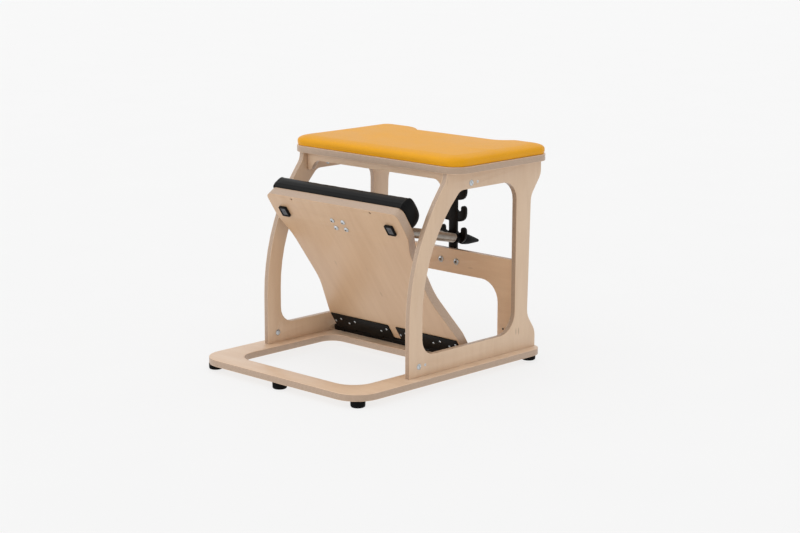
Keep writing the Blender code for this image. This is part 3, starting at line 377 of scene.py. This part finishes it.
NUT_FACE = ((slotted, -0.0009), (slotted, 0.0003), (NUT_RADIUS - 0.0006, 0.0003), (NUT_RADIUS, 0.0001),
            (NUT_RADIUS, -0.0012))
for side, label in SIDES:
    finished(nodes["base_bolt_" + label], zinc)
    low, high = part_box("side_panel_" + label)
    ply = birch_plywood("panel_plywood_painted_shade_" + label, RIGHT, UP, low, PANEL, PANEL_PLIES, PANEL_PAINTED_SHADE)
    eased("side_panel_" + label, ply, radius=0.0022, segments=3)
    for level in ("low", "high"):
        nut = "barrel_nut_%s_%s" % (level, label)
        finished(nodes[nut], zinc)
        low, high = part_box(nut)
        centre = (low + high) / 2
        inner_x, outer_x = (low.x, high.x) if side > 0 else (high.x, low.x)
        for face, x, out in (("inner", inner_x, -side), ("outer", outer_x, side)):
            spot = Matrix.Translation((x + out * NUT_PROUD, centre.y, centre.z))
            facing = Matrix.Rotation(pi / 2, 4, (0, out, 0)) @ Matrix.Rotation(SLOT_TURN, 4, "Z")
            added("%s_%s_face" % (nut, face), turned(NUT_FACE, 1), zinc, "frame",
                  spot @ facing)
        spot = (outer_x, centre.y + LOCK_BEHIND[level], centre.z + LOCK_OVER)
        added("panel_screw_%s_%s" % (level, label), screw(**LOCK_SCREW), zinc, "frame",
              aimed(spot, (side, 0, 0)))


# Back panel and front apron.
# Two cross pieces of 15 mm birch plywood between the panels: the back one carries the hook post,
# the front one stiffens the seat. Both are screwed through the panels' edges from hidden faces.

FRONT, BACK = (0, -1, 0), (0, 1, 0)
# Painted light: the back panel and the apron lie in shade under the seat, so their faces are lightened
BACK_PAINTED_LIGHT, APRON_PAINTED_LIGHT = (1.24, 1.23, 1.17), (1.18, 1.20, 1.20)
BACK_SCREW_X, BACK_SCREW_Z = 0.206, 0.081
BACK_SCREW = {"radius": 0.0030, "height": 0.0010, "recess": cross(0.0018, 0.0006), "depth": 0.0016,
              "shank_radius": 0.0016, "shank": 0.010}
low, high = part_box("back_panel")
ply = birch_plywood("back_plywood_painted_light", BACK, RIGHT, low, PANEL, PANEL_PLIES, BACK_PAINTED_LIGHT)
eased("back_panel", ply, radius=0.0020, segments=3)
# The back panel's screws are dark screws, drawn whole in the dark material that paints shade in recesses
for side, label in SIDES:
    added("back_panel_screw_" + label, screw(**BACK_SCREW), recess_shade_and_dark_screws, "frame",
          aimed((side * BACK_SCREW_X, low.y, BACK_SCREW_Z), FRONT))
low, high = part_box("front_apron")
ply = birch_plywood("apron_plywood_painted_light", BACK, RIGHT, low, PANEL, PANEL_PLIES, APRON_PAINTED_LIGHT)
eased("front_apron", ply, radius=0.0015, segments=2)


# Seat board.
# The 18 mm birch plywood board under the pad, with two ears at the back. Bolts go down through it
# into the barrel nuts, and the pad hides their heads.

low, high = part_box("seat_board")
ply = birch_plywood("seat_plywood", UP, RIGHT, low, BOARD, BOARD_PLIES)
eased("seat_board", ply, radius=0.0022, segments=3)
for label in ("left", "right"):
    finished(nodes["seat_bolt_" + label], zinc)


# Seat pad.
# Firm foam with a bevelled top edge, upholstered in grained amber vinyl that is pulled tight round
# it and gathered at the corners. It is glued to the seat board and follows its outline.

SEAT_WIDTH, SEAT_LENGTH, SEAT_CORNER = 0.6274, 0.391, 0.050
RECESS_WIDTH, RECESS_DEPTH, RECESS_SLOPE, RECESS_CORNER = 0.340, 0.035, 0.017, 0.030
PAD_INSET, PAD_HELD = 0.0015, 0.001      # up to this height the cover is held to the board
CORNER_STEPS, EDGE_STEP = 20, 0.007
# (drawn in from the pad's edge, height): under side, tucked edge, bulged side, bevel and ridge
PAD_SECTION = ((0.020, 0.0), (0.006, 0.0), (0.0022, 0.0008), (0.0006, 0.0035), (-0.0004, 0.0075),
               (-0.0006, 0.012), (0.0002, 0.0162), (0.0024, 0.0196), (0.0064, 0.0224), (0.0120, 0.0246),
               (0.0185, 0.0263), (0.0245, 0.0276), (0.0285, 0.02835), (0.0310, 0.0286), (0.0360, 0.0288))
# From the ridge in to a line along the middle, as (share of the way, height), and half that line
CROWN = ((0.12, 0.0290), (0.25, 0.0292), (0.40, 0.0294), (0.55, 0.0295), (0.70, 0.0296), (0.85, 0.0297))
CROWN_HALF = 0.2
PLEAT_DEPTH, PLEAT_HEIGHT, PLEAT_WIDTH, PLEAT_ANGLES = 0.0010, 0.024, radians(4), (30, 58)
pad_low, pad_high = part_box("seat_pad")


def pad_corners(inset):
    """The seat's outline drawn in by an inset, as corners (x, y, radius)."""
    half = SEAT_WIDTH / 2 - inset
    front = pad_low.y - PAD_INSET + inset
    back = pad_low.y - PAD_INSET + SEAT_LENGTH - inset
    bend = RECESS_WIDTH / 2 + 0.6 * inset
    corner, outward = [max(0.004, radius - inset) for radius in (SEAT_CORNER, RECESS_CORNER)]
    right = [(half, front, corner), (half, back, corner), (bend + RECESS_SLOPE, back, outward),
             (bend - RECESS_SLOPE, back - RECESS_DEPTH, RECESS_CORNER + inset)]
    return right + [(-x, y, r) for x, y, r in reversed(right)]


def pad_outline(inset):
    """Points round the seat's outline drawn in by an inset, with the same count at every inset."""
    corners, full = pad_corners(inset), pad_corners(0)
    fills = [round(hypot(a[0] - b[0], a[1] - b[1]) / EDGE_STEP)
             for a, b in zip(full, full[1:] + full[:1])]
    n = len(corners)
    points = [Vector(c[:2]) for c in corners]
    arcs = []
    for i in range(n):
        before, after = points[i - 1] - points[i], points[(i + 1) % n] - points[i]
        way, on = before.normalized(), after.normalized()
        half = acos(max(-1, min(1, way.dot(on)))) / 2
        reach = min(corners[i][2] / tan(half), 0.48 * before.length, 0.48 * after.length)
        centre = points[i] + (way + on).normalized() * reach / cos(half)
        turn = (pi - 2 * half) * (1 if way.cross(on) < 0 else -1)
        start = points[i] + way * reach - centre
        arcs.append([centre + Matrix.Rotation(turn * k / CORNER_STEPS, 2) @ start
                     for k in range(CORNER_STEPS + 1)])
    outline = []
    for i in range(n):
        near, far = arcs[i][-1], arcs[(i + 1) % n][0]
        outline += arcs[i] + [near.lerp(far, k / fills[i]) for k in range(1, fills[i])]
    return outline


def pleat(point, height):
    """How far the cover is drawn in at a front corner, where its slack is folded into two pleats."""
    across = abs(point.x) - (SEAT_WIDTH / 2 - SEAT_CORNER)
    ahead = pad_low.y - PAD_INSET + SEAT_CORNER - point.y
    if across <= 0 or ahead <= 0:
        return 0.0
    turn = atan2(across, ahead)
    fold = sum(exp(-((turn - radians(t)) / PLEAT_WIDTH) ** 2) for t in PLEAT_ANGLES)
    return PLEAT_DEPTH * fold * max(0.0, sin(pi * min(1.0, height / PLEAT_HEIGHT)))


def seat_pad():
    """The cover's mesh: rings up its side to the ridge, then in to a line along the middle."""
    rings = []
    for inset, height in PAD_SECTION:
        ring = []
        for p in pad_outline(PAD_INSET + inset):
            inward = Vector((-p.x, -p.y + pad_low.y + SEAT_LENGTH / 2)).normalized() * pleat(p, height)
            ring.append((p.x + inward.x, p.y + inward.y, pad_low.z + height))
        rings.append(ring)
    ridge = [Vector(p) for p in rings[-1]]
    middle_y = (pad_low.y + pad_high.y - RECESS_DEPTH) / 2
    middle = [Vector((max(-CROWN_HALF, min(CROWN_HALF, p.x)), middle_y)) for p in ridge]
    for share, height in CROWN:
        rings.append([(*p.xy.lerp(goal, share), pad_low.z + height) for p, goal in zip(ridge, middle)])
    return lathe(rings)


def swelled(mesh, cap, held):
    """Blows a closed cover up like foam under tight cloth: a cloth simulation of 20 steps with its
    result capped, in which the points that held() picks stay where they are."""
    rest = [v.co.copy() for v in mesh.vertices]
    work = bpy.data.objects.new("swelling", mesh)
    bpy.context.scene.collection.objects.link(work)
    group = work.vertex_groups.new(name="held")
    group.add([v.index for v in mesh.vertices if held(v.co)], 1.0, "REPLACE")
    cloth = work.modifiers.new("cloth", "CLOTH")
    settings = cloth.settings
    settings.quality = 5
    settings.mass = 0.4
    settings.tension_stiffness = settings.compression_stiffness = 25
    settings.shear_stiffness = 10
    settings.bending_stiffness = 2.0
    settings.use_pressure = True
    settings.uniform_pressure_force = 3.0
    settings.effector_weights.gravity = 0
    settings.vertex_group_mass = "held"
    cloth.collision_settings.use_collision = False
    scene = bpy.context.scene
    for step in range(1, 21):
        scene.frame_set(step)
    seen = work.evaluated_get(bpy.context.evaluated_depsgraph_get())
    blown = [v.co.copy() for v in seen.data.vertices]
    bpy.data.objects.remove(work)
    scene.frame_set(1)
    for vertex, old, new in zip(mesh.vertices, rest, blown):
        move = new - old
        if move.length > cap:
            move = move.normalized() * cap
        vertex.co = old + move


def vinyl(name, colour, shade, roughness, grain, depth, specular):
    """Upholstery vinyl: a pebbled grain with painted shade in its creases, broad soft changes of tone
    and a slight sheen.
    """
    material, tree, skin = shader(name)
    place = node(tree, "TexCoord").outputs["Object"]
    pebbles = texture(tree, "TexVoronoi", place, (grain,) * 3)
    fine = texture(tree, "TexNoise", place, (2.5 * grain,) * 3, Detail=2.0)
    broad = texture(tree, "TexNoise", place, (9,) * 3, Detail=3.0)
    tone = between(tree, broad.outputs[0], 0.3, 0.7)
    # Painted shade: the grain's creases, between the pebbles, are darkened
    crease_shade = between(tree, pebbles.outputs["Distance"], 0.35, 0.75, 0.0, 0.35)
    crease_shade_colour = (*(0.6 * c for c in colour), 1)
    tree.links.new(mixed(tree, crease_shade, mixed(tree, tone, (*colour, 1), (*shade, 1)), crease_shade_colour),
                   skin.inputs["Base Color"])
    tree.links.new(between(tree, broad.outputs[0], 0.3, 0.7, roughness - 0.03, roughness + 0.05),
                   skin.inputs["Roughness"])
    skin.inputs["Specular IOR Level"].default_value = specular
    height = calc(tree, "ADD", calc(tree, "MULTIPLY", pebbles.outputs["Distance"], -1.0),
                  calc(tree, "MULTIPLY", fine.outputs[0], 0.4))
    bumped(tree, skin, 0.25, depth, height)
    return material


pad_mesh = seat_pad()
swelled(pad_mesh, cap=0.0012, held=lambda p: p.z < pad_low.z + PAD_HELD)
amber = vinyl("amber_vinyl", (0.78, 0.350, 0.008), (0.82, 0.375, 0.010), 0.40, 1100, 0.00010, 0.15)
pad = added("seat_cushion", pad_mesh, amber, "frame", Matrix())
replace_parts(pad, "seat_pad")


# Pedal board.
# One 27 mm birch plywood board, narrowed at its waist, with rounded-over edges. It hinges at its
# lower edge and carries the foot roll, the bumpers, the hinge leaves and the spring bracket.

HINGE, RAISED = Vector((0, 0.0903, 0.0462)), radians(56.9)
PEDAL = Matrix.Translation(HINGE) @ Matrix.Rotation(-RAISED, 4, "X")
PEDAL_BOARD, PEDAL_PLIES, PEDAL_UNDER = 0.027, 19, -0.0025
# Painted shade: the pedal's faces are darkened and made warmer
PEDAL_OVER, PEDAL_PAINTED_SHADE = PEDAL_UNDER + PEDAL_BOARD, (0.87, 0.79, 0.68)
up_board, out_board = -PEDAL.col[1].xyz, PEDAL.col[2].xyz
ply = birch_plywood("pedal_plywood_painted_shade", out_board, up_board, HINGE + out_board * PEDAL_UNDER, PEDAL_BOARD,
                    PEDAL_PLIES, PEDAL_PAINTED_SHADE)
eased("pedal_board", ply, radius=0.0050, segments=5)


def on_pedal(x, along, over):
    """The place of a piece on the pedal's under side, from its distance up the board."""
    return PEDAL @ aimed((x, -along, over), DOWN)


# Foot roll.
# A firm foam bar along the pedal's free edge, in a cover of black grained vinyl: seamed round both
# ends and along its front, stapled flat on the board, and held by two screws through the board.

GAP = 0.0003            # between two pieces that touch
ROLL_MIDDLE, ROLL_HALF, ROLL_FLAT = 0.470, 0.2485, PEDAL_OVER + GAP
ROLL_CORE = 0.024       # the height over the flat side that the ends narrow to
ROLL_HELD = 0.013       # up to this height the cover is held to the board
STATION, STATIONS = 0.004, 55       # between two rings of the cover, and their number in each half
SLACK, SLACK_OVER = 0.0004, 0.02    # how deep the cover's loose waves are, and the height they start at
# Round the bar from its front lower edge, as (towards the pedal's free end, over the board)
ROLL_SIDE = ((0.0340, 0.0), (0.0362, 0.0016), (0.0372, 0.0042), (0.0383, 0.0078), (0.0391, 0.0108),
             (0.0398, 0.0122), (0.0398, 0.0132), (0.0393, 0.0146), (0.0393, 0.019), (0.0393, 0.024),
             (0.0390, 0.029), (0.0383, 0.0338), (0.0368, 0.0380), (0.0342, 0.0417), (0.0305, 0.0446),
             (0.0258, 0.0465), (0.0195, 0.0477), (0.012, 0.0484), (0.004, 0.0486), (-0.005, 0.0484),
             (-0.013, 0.0476), (-0.0200, 0.0462), (-0.0260, 0.0438), (-0.0308, 0.0402),
             (-0.0345, 0.0357), (-0.0371, 0.0305), (-0.0388, 0.0250), (-0.0395, 0.0195),
             (-0.0395, 0.0140), (-0.0390, 0.0090), (-0.0380, 0.0045), (-0.0365, 0.0012),
             (-0.0345, 0.0), (-0.022, 0.0), (-0.008, 0.0), (0.008, 0.0), (0.022, 0.0))
# From the bar's end inwards, as (distance, share of the full section): cap, seam ridge, side
ROLL_END = ((0.0, 0.25), (0.0005, 0.50), (0.0020, 0.74), (0.0046, 0.895), (0.0074, 0.975),
            (0.0084, 1.004), (0.0094, 1.016), (0.0104, 1.004), (0.0124, 0.998), (0.017, 1.0),
            (0.024, 1.0))
# The arch over the bracket's near end: half its width, its height, where it starts, and its slopes
ARCH_HALF, ARCH_HEIGHT, ARCH_START, ARCH_SLOPE, ARCH_RUN = 0.050, 0.0125, -0.0105, 0.008, 0.006


def foot_roll():
    """The cover's mesh, arched on its lower side where the bracket's near end lies under it."""
    inner = [ROLL_END[-1][0] + STATION * k for k in range(1, STATIONS + 1)]
    reach = [(ROLL_HALF - d, share) for d, share in ROLL_END] + [(ROLL_HALF - d, 1.0) for d in inner]
    stations = reach + [(0.0, 1.0)] + [(-x, share) for x, share in reversed(reach)]
    rings = []
    for x, share in stations:
        ring = []
        for along, over in ROLL_SIDE:
            high = max(0.0, ROLL_CORE + (over - ROLL_CORE) * share)
            near = min(1.0, max(0.0, (ARCH_HALF - abs(x)) / ARCH_SLOPE))
            near *= min(1.0, max(0.0, (ARCH_START - along) / ARCH_RUN))
            high = max(high, ARCH_HEIGHT * near)
            slack = SLACK * sin(48 * x + 3) * sin(130 * x + 7 * along) * (high > SLACK_OVER)
            ring.append((x, -ROLL_MIDDLE - along * share, ROLL_FLAT + high + slack))
        rings.append(ring)
    return lathe(rings)


roll_mesh = foot_roll()
swelled(roll_mesh, cap=0.0009, held=lambda p: p.z < ROLL_FLAT + ROLL_HELD)
night = vinyl("black_vinyl", (0.0040, 0.0040, 0.0042), (0.0035, 0.0035, 0.0037), 0.36, 1100, 0.00010,
              0.10)
roll = added("foot_roll", roll_mesh, night, "pedal", PEDAL)
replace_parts(roll, "pedal_roll")


# Roll screws.
# Two countersunk steel screws go through the pedal board into the roll's wooden core. Each sits
# deep in its bored hole.

for label in ("left", "right"):
    finished(nodes["roll_screw_" + label], zinc)


# Bumpers.
# Two blocks of black rubber under the pedal, which stop it softly on the base's front rail.
# Each has a hollow middle with a washer and the screw that holds it.

TOUCH = 0.0001      # between a fastener's head and what it holds
bumper_rubber = moulded("bumper_rubber", (0.0050, 0.0050, 0.0055), 0.55, 1300, 0.0001, 0.10)
washer_steel = moulded("bumper_washer", (0.050, 0.053, 0.060), 0.40, 900, 0.00005, 0.5)
BUMPER_X, BUMPER_ALONG, HOLLOW_FLOOR = 0.1995, 0.4485, -0.0071
# The washer from its outer face down, as (half width, half length, corner radius, height)
WASHER = ((0.0094, 0.0114, 0.0018, 0.0008), (0.0097, 0.0117, 0.0021, 0.0005),
          (0.0097, 0.0117, 0.0021, 0.0))
BUMPER_SCREW = {"radius": 0.0036, "height": 0.0010, "recess": cross(0.0023, 0.0007), "depth": 0.0014,
                "shank_radius": 0.0016, "shank": 0.004}


def rounded(half_x, half_y, corner, height):
    """A ring round a rectangle with rounded corners."""
    ring, steps = [], 6
    for turn, (sx, sy) in enumerate(((1, 1), (-1, 1), (-1, -1), (1, -1))):
        for k in range(steps + 1):
            t = pi / 2 * (turn + k / steps)
            ring.append((sx * (half_x - corner) + corner * cos(t),
                         sy * (half_y - corner) + corner * sin(t), height))
    return ring


for side, label in SIDES:
    eased("bumper_" + label, bumper_rubber, radius=0.0008, segments=3)
    spot = on_pedal(side * BUMPER_X, BUMPER_ALONG, HOLLOW_FLOOR - TOUCH)
    plate = lathe([rounded(*step) for step in WASHER])
    added("bumper_washer_" + label, plate, washer_steel, "pedal", spot)
    added("bumper_screw_" + label, screw(**BUMPER_SCREW), washer_steel, "pedal",
          spot @ Matrix.Translation((0, 0, WASHER[0][3])))


# Pedal hinge.
# A long steel hinge in black powder coat: one leaf on the base, two on the pedal's under side, with
# rolled knuckles round one pin. Zinc-plated pan-head screws hold the leaves in two rows.

coat = moulded("powder_coat", (0.0058, 0.0045, 0.0036), 0.42, 900, 0.00008, 0.10)
for name in ("pedal_leaf_left", "pedal_leaf_right", "base_leaf"):
    eased(name, coat, radius=0.0006, segments=2)
finished(nodes["hinge_pin"], zinc)
LEAF = 0.003                    # the leaves' thickness
LEAF_SCREW = {"radius": 0.0036, "height": 0.0016, "recess": cross(0.0021, 0.0007), "depth": 0.0012,
              "shank_radius": 0.0016, "shank": 0.0045}
# Each row's distance from the hinge axis, and its screws' places along the leaf
LEAF_ROWS = ((0.0315, (-0.2325, -0.179, -0.053, 0.022, 0.145, 0.204)),
             (0.0435, (-0.206, -0.151, -0.027, 0.046, 0.175, 0.2315)))
BASE_ROW_NEARER = 0.0135        # how much nearer the axis the base leaf's rows lie
number = 0
for along, row in LEAF_ROWS:
    for x in row:
        number += 1
        added("leaf_screw_%d" % number, screw(**LEAF_SCREW), zinc, "pedal",
              on_pedal(x, along, PEDAL_UNDER - GAP - LEAF - TOUCH))
        spot = (x, HINGE.y + along - BASE_ROW_NEARER, base_high.z + GAP + LEAF + TOUCH)
        added("base_leaf_screw_%d" % number, screw(**LEAF_SCREW), zinc, "frame",
              aimed(spot, UP))


# Spring bracket.
# A folded steel bracket in black powder coat behind the pedal: a plate with two ears and a cross pin
# for the springs' eyes. Four button-head bolts hold it through the board, with nuts on its plate.

def hexagon(half_width):
    return lambda t: half_width / cos((t + pi / 6) % (pi / 3) - pi / 6)


def button_bolt(radius, height, socket, shank_radius, shank):
    """A button-head bolt with a six-sided socket, its head on Z = 0 and its shank below."""
    profile = [(hexagon(socket), 0.25 * height), (hexagon(socket), height), (1.25 * socket, height)]
    for share in (0.62, 0.78, 0.90, 0.97):
        profile.append((radius * share, height * (1 - 0.85 * share ** 4)))
    profile += [(radius, 0.12 * height), (radius, 0), (shank_radius, 0), (shank_radius, -shank + 0.0006),
                (shank_radius - 0.0006, -shank)]
    return lathe([around(reach, z, 36) for reach, z in profile], 1)


BRACKET_BOLT = {"radius": 0.0075, "height": 0.0040, "socket": 0.0022, "shank_radius": 0.003,
                "shank": 0.0369}
BRACKET_BOLTS_ALONG = {1: 0.4175, 2: 0.4435}
eased("spring_bracket", coat, radius=0.0007, segments=2)
eased("bracket_pin", zinc, radius=0.0006, segments=2)
for label in ("left", "right"):
    for number, along in BRACKET_BOLTS_ALONG.items():
        name = "bracket_bolt_%s_%d" % (label, number)
        low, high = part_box(name)
        spot = on_pedal((low.x + high.x) / 2, along, PEDAL_UNDER - GAP)
        bolt = added("button_bolt_%s_%d" % (label, number), button_bolt(**BRACKET_BOLT), zinc, "pedal",
                     spot)
        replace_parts(bolt, name)
        eased("bracket_nut_%s_%d" % (label, number), zinc, radius=0.0005, segments=2)


# Spring tree.
# A post cut from 8 mm steel plate with three pairs of hooked arms, in black powder coat. Two
# button-head bolts hold it behind the back rail, with nuts on its far side.

POST_BOLT = {"radius": 0.0092, "height": 0.0045, "socket": 0.0030, "shank_radius": 0.004,
             "shank": 0.0310}
eased("spring_tree", coat, radius=0.0013, segments=3)
for label in ("left", "right"):
    low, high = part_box("tree_bolt_" + label)
    spot = ((low.x + high.x) / 2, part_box("back_panel")[0].y - GAP, (low.z + high.z) / 2)
    bolt = added("post_bolt_" + label, button_bolt(**POST_BOLT), zinc, "frame",
                 aimed(spot, FRONT))
    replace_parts(bolt, "tree_bolt_" + label)
    eased("tree_nut_" + label, zinc, radius=0.0006, segments=2)


# Springs.
# Two close-wound extension springs of drawn steel wire, each held in moulded black cups. A rod runs
# from the rear cup through the post's hook to a moulded pull knob; an eye hangs on the bracket's pin.

SPRING_X = 0.0215
HOOK = Vector((0, 0.3056, 0.310))       # the swing axis of a spring in the lowest hooks
PIN_ALONG, PIN_RISE = 0.3875, 0.017     # the bracket's pin up the pedal board and over it
line = PEDAL @ Vector((0, -PIN_ALONG, PEDAL_OVER + PIN_RISE)) - HOOK
TILT, LENGTH = atan2(-line.y, line.z), line.length
WIRE, COIL_RADIUS, CURLS, CURL_POINTS, WIRE_SIDES = 0.0015, 0.0120, 109, 18, 6
CUP, CUP_LENGTH, FRONT_BORE = 0.0155, 0.0122, 0.0085
EYE_REACH = 0.046                       # the pin's distance from the front cup
# Where the rear cup, the knob and the front cup begin, from the swing axis towards the pin
REAR_CUP, KNOB, FRONT_CUP = 0.0103, -0.0107, LENGTH - EYE_REACH - CUP_LENGTH
wire = metal("spring_wire", (0.47, 0.43, 0.38), (0.38, 0.34, 0.30), 0.30, 500)
plastic = moulded("black_plastic", (0.0025, 0.0025, 0.0027), 0.45, 1200, 0.00005, 0.05)


def coil(start, end):
    """A tube of wire wound about Z."""
    total = CURLS * CURL_POINTS
    rise = (end - start) / total
    rings = []
    for k in range(total + 1):
        t = 2 * pi * k / CURL_POINTS
        middle = Vector((COIL_RADIUS * cos(t), COIL_RADIUS * sin(t), start + rise * k))
        out = Vector((cos(t), sin(t), 0))
        angles = [2 * pi * j / WIRE_SIDES for j in range(WIRE_SIDES)]
        rings.append([middle + (out * cos(a) + Vector(UP) * sin(a)) * WIRE for a in angles])
    return lathe(rings)


CUP_SIDE = ((0.0034, 0.0), (0.0135, 0.0), (0.0148, 0.0005), (0.0154, 0.0015), (CUP, 0.0030),
            (CUP, 0.0112), (0.0150, CUP_LENGTH), (0.0034, CUP_LENGTH))
# Down the knob from its collar, as (radius, distance)
KNOB_SIDE = ((0.0034, -0.0004), (0.0140, 0.0), (0.0150, 0.0006), (CUP, 0.0018), (CUP, 0.0070),
             (0.0153, 0.0095), (0.0152, 0.0130), (0.0149, 0.0180), (0.0142, 0.0240), (0.0132, 0.0300),
             (0.0120, 0.0360), (0.0106, 0.0425), (0.0092, 0.0490), (0.0078, 0.0555), (0.0065, 0.0612),
             (0.0054, 0.0660), (0.0046, 0.0695), (0.0037, 0.0718), (0.0022, 0.0729), (0.0008, 0.0733))
for side, label in SIDES:
    pivot = Matrix.Translation(HOOK + side * SPRING_X * Vector(RIGHT)) @ Matrix.Rotation(TILT, 4, "X")
    rear, front = "spring_rear_" + label, "spring_front_" + label
    winding = coil(REAR_CUP + CUP_LENGTH + WIRE, FRONT_CUP - WIRE)
    new = added("wound_spring_" + label, winding, wire, None, pivot)
    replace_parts(new, "spring_coil_" + label)
    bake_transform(new)
    new = added("rear_cup_" + label, turned(CUP_SIDE), plastic, rear,
                pivot @ Matrix.Translation((0, 0, REAR_CUP)))
    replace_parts(new, "spring_rear_cup_" + label)
    knob = turned([(radius, KNOB - down) for radius, down in KNOB_SIDE])
    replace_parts(added("pull_knob_" + label, knob, plastic, rear, pivot),
                "spring_knob_" + label)
    flipped = Matrix.Translation((0, 0, FRONT_CUP + CUP_LENGTH)) @ Matrix.Rotation(pi, 4, "X")
    wider = turned([(max(radius, FRONT_BORE), height) for radius, height in CUP_SIDE])
    new = added("front_cup_" + label, wider, plastic, front, pivot @ flipped)
    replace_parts(new, "spring_front_cup_" + label)
    for name in ("spring_rod_", "spring_eye_"):
        finished(nodes[name + label], zinc)


# Studio.
# A floor that is lit from within, like a photographer's light table, and one broad soft light from
# above the pedal's side. The white room is dimmer behind and below the camera.

floor_material, tree, skin = shader("studio_floor")
place = node(tree, "TexCoord").outputs["Object"]
mottle = texture(tree, "TexNoise", place, (3,) * 3, Detail=2.0)
tree.links.new(mixed(tree, mottle.outputs[0], (0.125, 0.125, 0.125, 1), (0.135, 0.135, 0.135, 1)),
               skin.inputs["Base Color"])
skin.inputs["Roughness"].default_value = 0.85
skin.inputs["Specular IOR Level"].default_value = 0.1
skin.inputs["Emission Color"].default_value = (1, 1, 1, 1)
skin.inputs["Emission Strength"].default_value = 0.77
bpy.ops.mesh.primitive_plane_add(size=120, location=(0, 0, 0))
floor = bpy.context.object
floor.name = "studio_floor"
floor.data.materials.append(floor_material)

world = bpy.data.worlds.new("studio")
bpy.context.scene.world = world
world.use_nodes = True
backdrop = world.node_tree.nodes["Background"]
backdrop.inputs["Color"].default_value = (1.0, 1.0, 1.0, 1)
way = node(world.node_tree, "TexCoord").outputs["Generated"]
DIM_SIDE = (0.66, -0.69, -0.30)
FULL, DIMMED = 0.86, 0.45
towards_dim = node(world.node_tree, "VectorMath", {0: way, 1: DIM_SIDE},
                   operation="DOT_PRODUCT").outputs["Value"]
world.node_tree.links.new(between(world.node_tree, towards_dim, 0.1, 1.0, FULL, DIMMED),
                          backdrop.inputs["Strength"])

ceiling = bpy.data.lights.new("ceiling", "SUN")
ceiling.energy = 1.05
ceiling.angle = radians(110)
lamp = bpy.data.objects.new("ceiling", ceiling)
bpy.context.scene.collection.objects.link(lamp)
lamp.rotation_mode = "QUATERNION"
lamp.rotation_quaternion = Vector((-0.10, -0.58, 0.80)).to_track_quat("Z", "Y")

# The camera stands where the photograph was taken from: its angles round the chair, its lean, and
# its distance from the point that it looks at
AZIMUTH, ELEVATION, LEAN, DISTANCE = radians(43.613), radians(11.808), radians(0.195), 5.11788
TARGET = Vector((0.16609, -0.0877, 0.30828))
FOCAL_PIXELS, PHOTO_PIXELS, SENSOR = 1943.576, 800, 36
to_lens = Vector((sin(AZIMUTH) * cos(ELEVATION), -cos(AZIMUTH) * cos(ELEVATION), sin(ELEVATION)))
camera_data = bpy.data.cameras.new("camera")
camera_data.sensor_width = SENSOR
camera_data.lens = SENSOR * FOCAL_PIXELS / PHOTO_PIXELS
camera_data.clip_end = 200
camera = bpy.data.objects.new("camera", camera_data)
bpy.context.scene.collection.objects.link(camera)
camera.location = TARGET + to_lens * DISTANCE
camera.rotation_mode = "QUATERNION"
level = (-to_lens).to_track_quat("-Z", "Y").to_matrix()
camera.rotation_quaternion = (level @ Matrix.Rotation(LEAN, 3, "Z")).to_quaternion()
bpy.context.scene.camera = camera
bpy.context.scene.view_settings.view_transform = "Standard"
